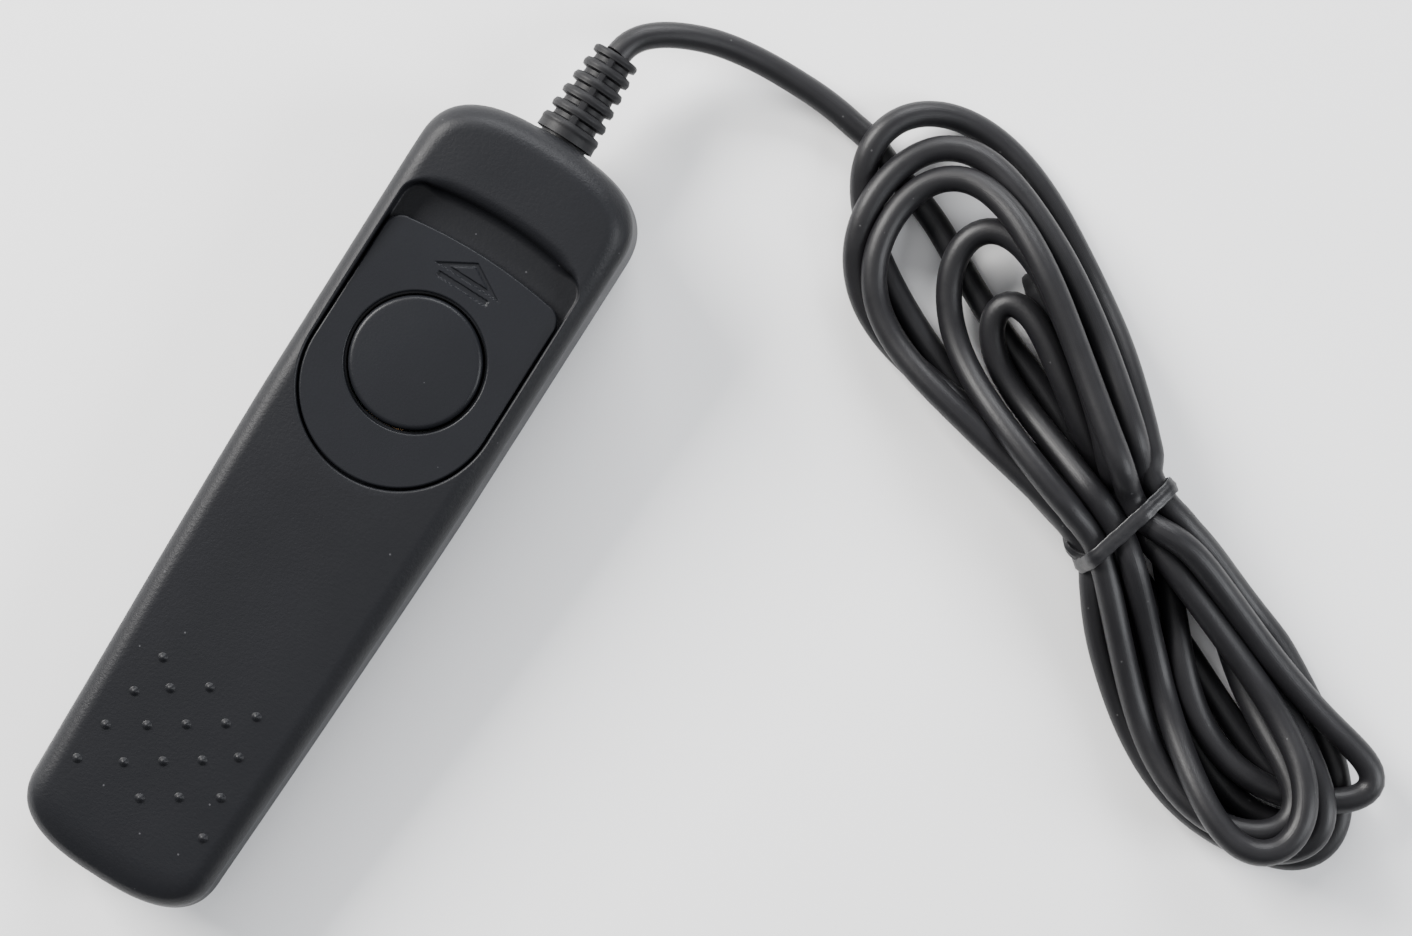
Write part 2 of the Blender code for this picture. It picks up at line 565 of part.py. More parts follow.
def plug_prism(name, rows, finish):
    """A slot around the plug, open below, from distances along it and half widths."""
    outline = [plug_point(a - 5 * MM, w) for a, w in rows] \
        + [plug_point(a - 5 * MM, -w) for a, w in reversed(rows)]
    return prism(name, outline, HANK_Z[0] - 2 * MM, PLUG_Z + 3.5 * MM, finish)


def plug_turned(name, profile, finish, steps=20):
    """A turned piece on the plug's own axis, which lies level."""
    c, s = math.cos(PLUG_ANGLE), math.sin(PLUG_ANGLE)
    x, y = hank_point(*PLUG_START)
    points, count = [], len(profile)
    for i in range(steps):
        angle = 2 * math.pi * i / steps
        for radius, along in profile:
            across, up = radius * math.cos(angle), radius * math.sin(angle)
            points.append((x + along * c - across * s, y + along * s + across * c, PLUG_Z + up))
    faces = [[i * count + k, i * count + (k + 1) % count,
              (i + 1) % steps * count + (k + 1) % count, (i + 1) % steps * count + k]
             for i in range(steps) for k in range(count)]
    return clean_solid(name, points, faces, finish)


def make_plug(rubber, nickel, insulation):
    """A slim moulded plug: grip with its own relief, then a stereo pin of three contacts."""
    grip = [(0, -4.6 * MM), (1.9 * MM, -4.6 * MM), (2.3 * MM, -0.6 * MM), (2.9 * MM, 0.2 * MM),
            (3 * MM, 1.2 * MM), (3 * MM, 17 * MM), (2.75 * MM, 18.6 * MM), (2.2 * MM, 18.8 * MM),
            (0, 18.8 * MM)]
    plug_turned("plug_grip", grip, rubber)
    pin, land = 1.25 * MM, 19.1 * MM
    contacts = (("jack_sleeve", 0, 4.2 * MM, nickel), ("jack_insulator_1", 4.5 * MM, 4.9 * MM, insulation),
                ("jack_ring", 5.2 * MM, 6.8 * MM, nickel), ("jack_insulator_2", 7.1 * MM, 7.5 * MM, insulation))
    for name, low, high, finish in contacts:
        profile = [(0, land + low), (pin, land + low), (pin, land + high), (0, land + high)]
        plug_turned(name, profile, finish, 16)
    tip = [(0, 7.8 * MM), (pin, 7.8 * MM), (pin, 8.4 * MM), (0.85 * MM, 9 * MM), (1.2 * MM, 9.7 * MM),
           (0.9 * MM, 10.4 * MM), (0.3 * MM, 11 * MM), (0, 11 * MM)]
    plug_turned("jack_tip", [(radius, land + along) for radius, along in tip], nickel, 16)


def make_tie(finish):
    """A flat band round the waist, with its twisted end pressed flat at one side."""
    low, high = TIE_GROOVE_Z - GAP, HANK_Z[1] + GAP
    thick, half_band = 0.7 * MM, 1 * MM
    middle, half = 0.6 * MM, WAIST_HALF_WIDTH + 0.45 * MM

    def loop(grow):
        reach, corner = half + grow, 0.15 * MM + grow
        points = []
        for side_x, side_z, start in ((1, 1, 0), (-1, 1, 90), (-1, -1, 180), (1, -1, 270)):
            for step in range(5):
                a = math.radians(start + 22.5 * step)
                z_center = high + grow - corner if side_z > 0 else low - grow + corner
                points.append((middle + side_x * (reach - corner) + corner * math.cos(a),
                               z_center + corner * math.sin(a)))
        return points

    rings = []
    for grow, along in ((0, -half_band), (thick, -half_band), (thick, half_band), (0, half_band)):
        rings.append([(*hank_point(along, w), z) for w, z in loop(grow)])
    count = len(rings[0])
    points = [point for ring in rings for point in ring]
    faces = [[k * count + i, k * count + (i + 1) % count, (k + 1) % 4 * count + (i + 1) % count,
              (k + 1) % 4 * count + i] for k in range(4) for i in range(count)]
    band = solid("twist_tie", points, faces, finish)
    end = -half - thick
    outline = [hank_point(-1 * MM, end + 0.5 * MM + middle), hank_point(1 * MM, end + 0.5 * MM + middle),
               hank_point(2.6 * MM, end - 1.6 * MM + middle), hank_point(1.2 * MM, end - 2.2 * MM + middle)]
    combine(band, "UNION", prism("tie_end_guide", outline, 5 * MM, 5.9 * MM, finish))


def main():
    clear_scene()
    case = material("black_case_plastic", (0.022, 0.023, 0.026), 0.55)
    button = material("black_button_plastic", (0.024, 0.025, 0.029), 0.5)
    rubber = material("black_relief_rubber", (0.018, 0.018, 0.020), 0.62)
    jacket = material("black_cord_jacket", (0.020, 0.020, 0.022), 0.5)
    paper = material("black_tie_plastic", (0.024, 0.024, 0.026), 0.4)
    steel = material("bright_steel", (0.62, 0.62, 0.6), 0.3, 1)
    bronze = material("spring_bronze", (0.72, 0.47, 0.25), 0.32, 1)
    nickel = material("nickel_plate", (0.72, 0.7, 0.66), 0.2, 1)
    laminate = material("green_laminate", (0.03, 0.19, 0.09), 0.45)
    insulation = material("cream_insulation", (0.7, 0.66, 0.56), 0.5)
    wires = {"common_wire": material("copper_wire_sleeve", (0.62, 0.3, 0.12), 0.45),
             "focus_wire": material("white_wire_sleeve", (0.75, 0.74, 0.7), 0.45),
             "shutter_wire": material("red_wire_sleeve", (0.6, 0.04, 0.03), 0.45)}
    make_shells(case)
    make_slider(button)
    make_retainer(button)
    make_button(button)
    make_spring(steel)
    make_board(laminate, steel)
    make_switch(insulation, bronze)
    make_wires(wires)
    make_case_screws(steel)
    make_relief(rubber)
    make_inner_cord(jacket, insulation)
    tube("cable_lead", smooth_route(LEAD_KNOTS, 2.2 * MM), CORD_RADIUS, jacket)
    make_hank(jacket)
    make_plug(rubber, nickel, insulation)
    make_tie(paper)


main()
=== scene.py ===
# Wired shutter release: fine surfaces, finishes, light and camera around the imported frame.
# Metres, +Z up, +Y along the handset towards its cord. Lengths in the dictionaries are millimetres.
import json
import math

import bmesh
import bpy
import numpy as np
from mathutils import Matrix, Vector


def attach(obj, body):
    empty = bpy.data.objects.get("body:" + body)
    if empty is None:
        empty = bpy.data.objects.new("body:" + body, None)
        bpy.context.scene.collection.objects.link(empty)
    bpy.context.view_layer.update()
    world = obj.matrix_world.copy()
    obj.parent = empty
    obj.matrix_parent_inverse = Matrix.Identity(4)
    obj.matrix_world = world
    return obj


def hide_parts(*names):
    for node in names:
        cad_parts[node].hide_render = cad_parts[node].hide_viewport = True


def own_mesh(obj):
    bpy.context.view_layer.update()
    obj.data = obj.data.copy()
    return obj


mm = 0.001
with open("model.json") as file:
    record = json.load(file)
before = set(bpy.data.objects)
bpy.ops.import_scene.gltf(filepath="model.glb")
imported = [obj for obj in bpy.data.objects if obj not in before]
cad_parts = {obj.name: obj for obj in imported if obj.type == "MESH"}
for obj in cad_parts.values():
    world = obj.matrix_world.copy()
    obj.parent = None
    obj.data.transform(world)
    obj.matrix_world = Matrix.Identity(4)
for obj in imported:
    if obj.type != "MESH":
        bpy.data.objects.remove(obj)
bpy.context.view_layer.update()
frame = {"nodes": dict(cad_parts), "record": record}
print("frame loaded:", len(frame["nodes"]), "nodes")


# Camera, lamps and floor. A lamp's place is right, up and height, as the camera sees it.
stand = dict(cameraPlace=(32.03, 20.08, 360), cameraTurn=32.5, lens=82.95, floorHalf=900,
             floorColor=(0.90, 0.90, 0.905), skyColor=(0.94, 0.96, 1.0), skyStrength=0.34)
lamps = (
    dict(name="keyLamp", place=(-520, 420, 400), size=(420, 320), watts=17.0, color=(1.0, 0.985, 0.96)),
    dict(name="headLamp", place=(160, 700, 380), size=(520, 240), watts=8.0, color=(0.97, 0.98, 1.0)),
    dict(name="sideLamp", place=(640, -120, 400), size=(300, 460), watts=6.0, color=(0.95, 0.97, 1.0)),
    dict(name="topLamp", place=(-60, -80, 760), size=(700, 500), watts=1.0, color=(1.0, 1.0, 1.0)),
)


def placeCamera():
    camera = bpy.data.objects.new("camera", bpy.data.cameras.new("camera"))
    camera.data.lens = stand["lens"]
    camera.data.sensor_width = 36
    camera.data.clip_start = 0.01
    camera.location = [length * mm for length in stand["cameraPlace"]]
    camera.rotation_euler = (0, 0, math.radians(stand["cameraTurn"]))
    bpy.context.scene.collection.objects.link(camera)
    bpy.context.scene.camera = camera


def placeLamps():
    turn = math.radians(stand["cameraTurn"])
    aim = Vector((stand["cameraPlace"][0] * mm, stand["cameraPlace"][1] * mm, 0))
    for lamp in lamps:
        light = bpy.data.lights.new(lamp["name"], "AREA")
        light.shape = "RECTANGLE"
        light.size, light.size_y = [side * mm for side in lamp["size"]]
        light.energy = lamp["watts"]
        light.color = lamp["color"]
        right, up, height = [length * mm for length in lamp["place"]]
        offset = Vector((right * math.cos(turn) - up * math.sin(turn),
                         right * math.sin(turn) + up * math.cos(turn), height))
        made = bpy.data.objects.new(lamp["name"], light)
        made.location = aim + offset
        made.rotation_euler = (-offset).to_track_quat("-Z", "Y").to_euler()
        bpy.context.scene.collection.objects.link(made)
    world = bpy.data.worlds.new("paleSky")
    world.use_nodes = True
    sky = world.node_tree.nodes["Background"]
    sky.inputs["Color"].default_value = (*stand["skyColor"], 1)
    sky.inputs["Strength"].default_value = stand["skyStrength"]
    bpy.context.scene.world = world


# Shader maths: a socket whose arithmetic adds Math nodes, and a finish that adds any other node.
class Value:
    def __init__(self, finish, socket):
        self.finish = finish
        self.socket = socket

    def math(self, operation, first, second):
        return self.finish.add("ShaderNodeMath", {"operation": operation}, {0: first, 1: second})

    def __add__(self, other):
        return self.math("ADD", self, other)

    def __radd__(self, other):
        return self.math("ADD", other, self)

    def __mul__(self, other):
        return self.math("MULTIPLY", self, other)

    def __rmul__(self, other):
        return self.math("MULTIPLY", other, self)

    def __gt__(self, other):
        return self.math("GREATER_THAN", self, other)

    def __lt__(self, other):
        return self.math("LESS_THAN", self, other)


class Finish:
    def __init__(self, name, roughness, metallic=0.0, specular=0.5, coat=0.0, coatRoughness=0.1):
        self.material = bpy.data.materials.new(name)
        self.material.use_nodes = True
        self.tree = self.material.node_tree
        self.shader = self.tree.nodes["Principled BSDF"]
        self.shader.inputs["Roughness"].default_value = roughness
        self.shader.inputs["Metallic"].default_value = metallic
        self.shader.inputs["Specular IOR Level"].default_value = specular
        self.shader.inputs["Coat Weight"].default_value = coat
        self.shader.inputs["Coat Roughness"].default_value = coatRoughness

    def add(self, kind, settings, values, output=0):
        # settings first, then each socket by name or number, as a value or a link
        node = self.tree.nodes.new(kind)
        for key, setting in settings.items():
            setattr(node, key, setting)
        for key, value in values.items():
            self.join(node.inputs[key], value)
        return Value(self, node.outputs[output])

    def join(self, place, value):
        if isinstance(value, Value):
            self.tree.links.new(value.socket, place)
        elif hasattr(value, "__len__") and len(value) == 3 and place.type == "RGBA":
            place.default_value = (*value, 1)
        else:
            place.default_value = value

    def objectPlace(self):
        return self.add("ShaderNodeTexCoord", {}, {}, "Object")

    def noise(self, place, scale, detail=3.0, rough=0.55):
        return self.add("ShaderNodeTexNoise", {}, {"Vector": place, "Scale": scale, "Detail": detail,
                                                   "Roughness": rough}, "Fac")

    def stretched(self, place, scale):
        return self.add("ShaderNodeMapping", {}, {"Vector": place, "Scale": scale})

    def between(self, share, first, second):
        return self.add("ShaderNodeMix", {"data_type": "RGBA"}, {"Factor": share, 6: first, 7: second}, 2)

    def flecks(self, place, scale, share):
        # sparse round specks: near a cell's centre, in the few cells whose random colour is high
        near = self.add("ShaderNodeTexVoronoi", {}, {"Vector": place, "Scale": scale}, "Distance")
        pick = self.add("ShaderNodeTexVoronoi", {}, {"Vector": place, "Scale": scale}, "Color")
        chance = self.add("ShaderNodeSeparateColor", {}, {"Color": pick}, "Red")
        return (near < 0.16) * (chance > 1 - share)

    def relief(self, height, distance, strength=1.0):
        return self.add("ShaderNodeBump", {}, {"Height": height, "Distance": distance, "Strength": strength},
                        "Normal")

    def dress(self, **sockets):
        names = dict(color="Base Color", rough="Roughness", normal="Normal")
        for key, value in sockets.items():
            self.join(self.shader.inputs[names[key]], value)
        return self.material


plastics = dict(
    case=dict(dark=(0.0052, 0.0055, 0.0068), light=(0.0088, 0.0092, 0.0112), fleck=(0.07, 0.07, 0.075),
              rough=(0.38, 0.54), grain=2600, grainDepth=0.000045),
    button=dict(dark=(0.0054, 0.0058, 0.0074), light=(0.0086, 0.0092, 0.0114), fleck=(0.06, 0.06, 0.065),
                rough=(0.34, 0.46), grain=3600, grainDepth=0.000022),
)
rubbers = dict(
    relief=dict(dark=(0.0050, 0.0050, 0.0058), light=(0.0095, 0.0095, 0.0108), rough=(0.44, 0.62)),
    jacket=dict(dark=(0.0058, 0.0057, 0.0066), light=(0.0110, 0.0107, 0.0122), rough=(0.34, 0.50)),
)


def mouldedPlastic(name, look):
    # spark-eroded skin: fine pits from noise, slow colour and gloss drift, a few dust flecks
    finish = Finish(name, roughness=look["rough"][0], specular=0.2)
    place = finish.objectPlace()
    slow = finish.noise(place, 55, 4)
    patch = finish.noise(place, 260, 3)
    grain = finish.noise(place, look["grain"], 2, 0.7)
    fine = finish.noise(place, look["grain"] * 3.1, 1)
    dust = finish.flecks(place, 1500, 0.012)
    tone = finish.between(slow * 0.7 + grain * 0.3, look["dark"], look["light"])
    low, high = look["rough"]
    return finish.dress(color=finish.between(dust * 0.7, tone, look["fleck"]),
                        rough=low + (high - low) * (patch * 0.6 + slow * 0.4) + dust * 0.2,
                        normal=finish.relief(grain * 0.75 + fine * 0.25, look["grainDepth"]))


def mouldedRubber(name, look):
    # soft matt skin with faint waves and rubbed patches
    finish = Finish(name, roughness=look["rough"][0], specular=0.22)
    place = finish.objectPlace()
    wave = finish.noise(place, 420, 3)
    grain = finish.noise(place, 3800, 2, 0.65)
    low, high = look["rough"]
    return finish.dress(color=finish.between(wave, look["dark"], look["light"]),
                        rough=low + (high - low) * wave,
                        normal=finish.relief(wave * 0.5 + grain * 0.5, 0.00003))


def cordJacketFinish():
    # the jacket's own map: around the cord, and metres along it; die lines run along, scuffs across patches
    look = rubbers["jacket"]
    finish = Finish("cordJacket", roughness=look["rough"][0], specular=0.28)
    place = finish.objectPlace()
    own = finish.add("ShaderNodeUVMap", {"uv_map": "along"}, {})
    lines = finish.noise(finish.stretched(own, (60, 26, 1)), 1.0, 2)
    scuff = finish.noise(place, 300, 4, 0.6)
    grain = finish.noise(place, 3400, 2)
    dust = finish.flecks(place, 1500, 0.02)
    low, high = look["rough"]
    tone = finish.between(scuff * 0.6 + lines * 0.4, look["dark"], look["light"])
    return finish.dress(color=finish.between(dust * 0.7, tone, (0.07, 0.07, 0.072)),
                        rough=low + (high - low) * scuff + dust * 0.2,
                        normal=finish.relief(lines * 0.35 + grain * 0.2 + scuff * 0.45, 0.00006))


def tiePlasticFinish():
    # thin glossy skin over a soft wire: small creases across the band
    finish = Finish("tiePlastic", roughness=0.34, specular=0.32)
    place = finish.objectPlace()
    crease = finish.noise(place, 900, 3, 0.6)
    tone = finish.between(crease, (0.006, 0.006, 0.007), (0.013, 0.013, 0.0145))
    return finish.dress(color=tone, rough=0.26 + 0.22 * crease, normal=finish.relief(crease, 0.00005))


def metalFinish(name, dark, light, rough, pull, scale):
    # drawn or turned metal: noise pulled out along one direction, with a dull bloom in patches
    finish = Finish(name, roughness=rough[0], metallic=1.0)
    place = finish.objectPlace()
    hair = finish.noise(finish.stretched(place, pull), scale, 3, 0.6)
    bloom = finish.noise(place, 500, 3)
    return finish.dress(color=finish.between(bloom * 0.6 + hair * 0.4, dark, light),
                        rough=rough[0] + (rough[1] - rough[0]) * (hair * 0.5 + bloom * 0.5),
                        normal=finish.relief(hair, 0.000008))


def laminateFinish():
    # green mask over a glass weave: two crossed waves show faintly through it
    finish = Finish("boardLaminate", roughness=0.4, coat=0.3, coatRoughness=0.2)
    place = finish.objectPlace()
    threads = [finish.add("ShaderNodeTexWave", {"bands_direction": way}, {"Vector": place, "Scale": 420,
                                                                          "Distortion": 1.5}, "Fac")
               for way in ("X", "Y")]
    weave = threads[0] * threads[1]
    cloud = finish.noise(place, 300, 3)
    tone = finish.between(weave * 0.4 + cloud * 0.4, (0.012, 0.12, 0.05), (0.03, 0.22, 0.10))
    return finish.dress(color=tone, rough=0.32 + 0.2 * cloud, normal=finish.relief(weave, 0.00001))


def sleeveFinish(name, dark, light, rough=0.38):
    # coloured wire sleeve or moulded nylon with a little mottle
    finish = Finish(name, roughness=rough)
    place = finish.objectPlace()
    mottle = finish.noise(place, 900, 3)
    return finish.dress(color=finish.between(mottle, dark, light), rough=rough - 0.06 + 0.16 * mottle,
                        normal=finish.relief(mottle, 0.00001))


def floorFinish():
    finish = Finish("paleFloor", roughness=0.75, specular=0.3)
    cloud = finish.noise(finish.objectPlace(), 6, 3)
    shade = stand["floorColor"]
    return finish.dress(color=finish.between(cloud, shade, [part * 0.985 for part in shade]))


def layFloor():
    half = stand["floorHalf"] * mm
    mesh = bpy.data.meshes.new("floor")
    corners = [(-half, -half, 0), (half, -half, 0), (half, half, 0), (-half, half, 0)]
    mesh.from_pydata(corners, [], [(0, 1, 2, 3)])
    floor = bpy.data.objects.new("floor", mesh)
    floor.location = (0, 0, -0.00005)
    mesh.materials.append(floorFinish())
    bpy.context.scene.collection.objects.link(floor)


# Surfaces: rows of points, each row a ring, joined into quads.
def gridFaces(rows, columns, ringClosed=True, rowsClosed=False, start=0):
    # quad corners by index arithmetic; a closed direction wraps to its first row or column
    i = np.arange(rows if rowsClosed else rows - 1)[:, None]
    j = np.arange(columns if ringClosed else columns - 1)[None, :]
    nextRow, nextColumn = (i + 1) % rows, (j + 1) % columns
    return start + np.stack([i * columns + j, i * columns + nextColumn,
                             nextRow * columns + nextColumn, nextRow * columns + j], axis=-1).reshape(-1, 4)


def meshPiece(name, grids, finish, maps=None, sharpAngle=40):
    # one object from grids of (rows, columns, 3) points, given with how they close; poles and seams are merged
    points, faces, start = [], [], 0
    for grid, rowsClosed in grids:
        rows, columns = grid.shape[:2]
        points.append(grid.reshape(-1, 3))
        faces.append(gridFaces(rows, columns, True, rowsClosed, start))
        start += rows * columns
    mesh = bpy.data.meshes.new(name)
    mesh.from_pydata(np.vstack(points).tolist(), [], np.vstack(faces).tolist())
    if maps is not None:
        layer = mesh.uv_layers.new(name="along")
        corners = np.empty(len(mesh.loops), int)
        mesh.loops.foreach_get("vertex_index", corners)
        layer.data.foreach_set("uv", maps[corners].ravel())
    work = bmesh.new()
    work.from_mesh(mesh)
    bmesh.ops.remove_doubles(work, verts=work.verts, dist=1e-7)
    bmesh.ops.dissolve_degenerate(work, edges=work.edges, dist=1e-7)
    bmesh.ops.recalc_face_normals(work, faces=work.faces)
    work.to_mesh(mesh)
    work.free()
    mesh.shade_smooth()
    mesh.set_sharp_from_angle(angle=math.radians(sharpAngle))
    mesh.materials.append(finish)
    made = bpy.data.objects.new(name, mesh)
    bpy.context.scene.collection.objects.link(made)
    print(name, len(mesh.polygons), "faces")
    return made


def roundAngles(steps):
    return np.linspace(0, 2 * math.pi, steps, endpoint=False)


def compass(angles):
    return np.column_stack([np.cos(angles), np.sin(angles)])


def unit(rows):
    return rows / np.linalg.norm(rows, axis=-1, keepdims=True)


def farAlong(line):
    # the distance from the line's start to each of its points
    return np.concatenate([[0], np.cumsum(np.linalg.norm(np.diff(line[:, :3], axis=0), axis=1))])


def turnedGrid(profile, center, axis, across, sides):
    # a profile of (radius, distance along) carried round an axis
    profile = np.array(profile, float)
    angle = roundAngles(sides)
    axis, across = np.array(axis, float), np.array(across, float)
    other = np.cross(axis, across)
    ring = np.cos(angle)[:, None] * across + np.sin(angle)[:, None] * other
    return np.array(center) + profile[:, 0, None, None] * ring[None] + profile[:, 1, None, None] * axis


def softProfile(corners, radii, steps=5):
    # a closed profile with each corner replaced by a quarter round of its own radius
    corners = np.array(corners, float)
    t = np.linspace(0, math.pi / 2, steps + 1)[:, None]
    pieces = []
    for k, radius in enumerate(radii):
        into, out = (unit(corners[other % len(corners)] - corners[k]) for other in (k - 1, k + 1))
        curve = corners[k] + into * radius * (1 - np.sin(t)) + out * radius * (1 - np.cos(t))
        pieces.append(curve if radius > 0 else corners[k:k + 1])
    return np.vstack(pieces)


def smoothStep(value, low, high):
    share = np.clip((value - low) / (high - low), 0, 1)
    return share * share * (3 - 2 * share)


def evenly(line, spacing):
    # the same line with points at even distances along it
    along = farAlong(line)
    wanted = np.linspace(0, along[-1], int(round(along[-1] / spacing)) + 1)
    return np.column_stack([np.interp(wanted, along, line[:, k]) for k in range(line.shape[1])])


def splineThrough(points, spacing):
    # Catmull-Rom through the points, by the root of the distance between them
    points = np.array(points, float)
    apart = np.linalg.norm(np.diff(points[:, :3], axis=0), axis=1)
    points = points[np.r_[True, apart > 1e-6]]
    ends = np.vstack([2 * points[0] - points[1], points, 2 * points[-1] - points[-2]])
    knots = np.concatenate([[0], np.cumsum(np.linalg.norm(np.diff(ends[:, :3], axis=0), axis=1) ** 0.5)])
    k0, k1, k2, k3 = [knots[i:len(knots) - 3 + i, None, None] for i in range(4)]
    p0, p1, p2, p3 = [ends[i:len(ends) - 3 + i, None, :] for i in range(4)]
    t = k1 + (k2 - k1) * np.linspace(0, 1, 24, endpoint=False)[None, :, None]
    a1 = (k1 - t) / (k1 - k0) * p0 + (t - k0) / (k1 - k0) * p1
    a2 = (k2 - t) / (k2 - k1) * p1 + (t - k1) / (k2 - k1) * p2
    a3 = (k3 - t) / (k3 - k2) * p2 + (t - k2) / (k3 - k2) * p3
    b1 = (k2 - t) / (k2 - k0) * a1 + (t - k0) / (k2 - k0) * a2
    b2 = (k3 - t) / (k3 - k1) * a2 + (t - k1) / (k3 - k1) * a3
    fine = (k2 - t) / (k2 - k1) * b1 + (t - k1) / (k2 - k1) * b2
    return evenly(np.vstack([fine.reshape(-1, points.shape[1]), points[-1:]]), spacing)


# The cord: a lead from the handset, then a hank of eleven turns through the tie, then the plug.
cord = dict(
    radius=1.45, spacing=1.5, meshStep=0.65, exit=(0, 52.55, 8),
    lead=((0, 52.55, 8), (0.15, 53.6, 8), (0.6, 54.8, 8), (1.5, 56, 7.7), (3, 57.3, 7.1), (5.2, 58.6, 6.2),
          (7.9, 59.75, 5.2), (10.8, 60.5, 4.2), (14.3, 61, 3.2), (18.1, 61.2, 2.4), (20.9, 61.2, 1.9),
          (23.4, 61, 1.65), (25.3, 60.7, 1.6), (28.3, 60.2, 1.55)),
    # below the hank to the tie, as distances along and across the hank from its tie
    under=((-46, 0.1), (-39.1, 1), (-30.4, 0.6), (-22.7, 0.6), (-15.4, 1.1), (-8, 0.5)),
    tie=(72.8, 39.4), angle=-25, floor=1.55, layer=3.1, levels=(2.35, 5.25, 8.15),
    # each pass through the tie: across, and its level
    passes=((-1.3, 0), (-4.3, 0), (5.2, 2), (-1.5, 1), (4.5, 1), (-3.7, 2), (1.5, 1), (-0.8, 2), (1.6, 0),
            (-4.6, 1), (2.2, 2), (4.3, 0)),
)
# Settling: how far the cord sinks in a step, how firmly its plan keeps its place, the stiffness in plan
# and in height, and how hard touching strands push apart.
settle = dict(steps=260, sink=0.06, lastSink=0.02, hold=0.97, push=1.6, startPlan=1.5, plan=30.0, height=2.0,
              lastPlan=6.0, lastHeight=12.0, refresh=8, pushes=4, reach=1.2)
# A turn's side of the tie (-1 towards the handset), how far it reaches, and its shape across;
# layers are how high its left leg, its end and its right leg lie on the others.
turns = (
    dict(side=1, reach=39.1, lean=-0.8, skew=-3.3, belly=4.3, full=0.70, layers=(0, 0, 0)),
    dict(side=-1, reach=49.5, lean=2.9, skew=1.3, belly=12.7, full=0.86, layers=(1, 1, 2)),
    dict(side=1, reach=43, lean=-1.0, skew=-1.3, belly=10.6, full=1.10, layers=(1, 1, 2)),
    dict(side=-1, reach=44.9, lean=2.5, skew=-4.1, belly=15.0, full=0.78, layers=(2, 2, 3)),
    dict(side=1, reach=38.2, lean=-2.2, skew=-3.9, belly=7.7, full=0.90, layers=(3, 2, 1)),
    dict(side=-1, reach=34.5, lean=3.9, skew=-1.5, belly=9.2, full=1.04, layers=(4, 3, 3)),
    dict(side=1, reach=39.2, lean=-4.6, skew=0.2, belly=9.9, full=0.74, layers=(4, 4, 3)),
    dict(side=-1, reach=26.4, lean=2.7, skew=-0.3, belly=4.2, full=0.62, layers=(4, 3, 1)),
    dict(side=1, reach=40.9, lean=-1.3, skew=-3, belly=9.1, full=1.18, layers=(2, 2, 1)),
    dict(side=-1, reach=42.5, lean=1.2, skew=-2, belly=13.1, full=0.68, layers=(3, 4, 5)),
    dict(side=1, reach=39.9, lean=7.4, skew=-8.4, belly=12.3, full=1.14, layers=(0, 2, 4)),
)
plug = dict(start=(-9, 5.3), turn=-9, z=3.2, tip=-4.6, pinEnd=30.1,
            # radius along the grip and the pin, for what the cord lies on
            reach=((-4.6, 1.9), (-0.6, 2.3), (0.6, 3), (17, 3), (18.8, 2.2), (18.9, 1.25), (30.1, 1.25)),
            # the pin from where it leaves the grip: its contacts and rings, and the outline of its tip
            pin=1.25, land=19.1, bevel=0.08,
            contacts=(("jack_sleeve", 0, 4.2), ("jack_insulator_1", 4.5, 4.9), ("jack_ring", 5.2, 6.8),
                      ("jack_insulator_2", 7.1, 7.5)),
            nose=((1.25, 8.35), (1.02, 8.8), (0.84, 9.15), (1.0, 9.5), (1.18, 9.75), (1.02, 10.25),
                  (0.62, 10.75), (0.2, 10.98)))


def hankPlace(along, across, height):
    return np.column_stack([hankPlan(along, across), height * mm])


def hankPlan(along, across):
    # a plan point in metres from distances along and across the hank, counted from its tie
    angle = math.radians(cord["angle"])
    x = cord["tie"][0] + along * math.cos(angle) - across * math.sin(angle)
    y = cord["tie"][1] + along * math.sin(angle) + across * math.cos(angle)
    return np.stack([x, y], axis=-1) * mm


def plugPoint(along, across=0.0):
    turn = math.pi + math.radians(plug["turn"])
    return hankPlan(plug["start"][0] + along * math.cos(turn) - across * math.sin(turn),
                    plug["start"][1] + along * math.sin(turn) + across * math.cos(turn))


def turnLine(turn, left, right):
    # one turn from its left leg to its right one, for phi from 0 to pi, with s = sin(phi):
    # along = reach * s^full; across = the mean of the two passes, leaving them by lean * s and a skew
    # of 4 s^2 (1 - s), less cos(phi) * (half their distance + belly * s)
    phi = np.linspace(0, math.pi, 181)
    s = np.sin(phi)
    along = turn["side"] * turn["reach"] * s ** turn["full"]
    across = ((left + right) / 2 * (1 - s) + turn["lean"] * s + turn["skew"] * 4 * s * s * (1 - s)
              - np.cos(phi) * ((right - left) / 2 + turn["belly"] * s))
    height = np.interp(phi, (0.35, math.pi / 2, math.pi - 0.35), turn["layers"])
    clear = np.flatnonzero(np.abs(along) > 6.5)
    clear = clear[np.linspace(0, len(clear) - 1, 17).round().astype(int)]
    place = hankPlace(along[clear], across[clear], cord["floor"] + cord["layer"] * height[clear])
    return np.column_stack([place, np.zeros(len(clear))])


def tiePass(number, heading):
    # two points that hold the cord on its way through the tie
    across, level = cord["passes"][number]
    place = hankPlace(np.array([-1.2, 1.2]) * heading, np.full(2, across), np.full(2, cord["levels"][level]))
    return np.column_stack([place, [1, 1]])


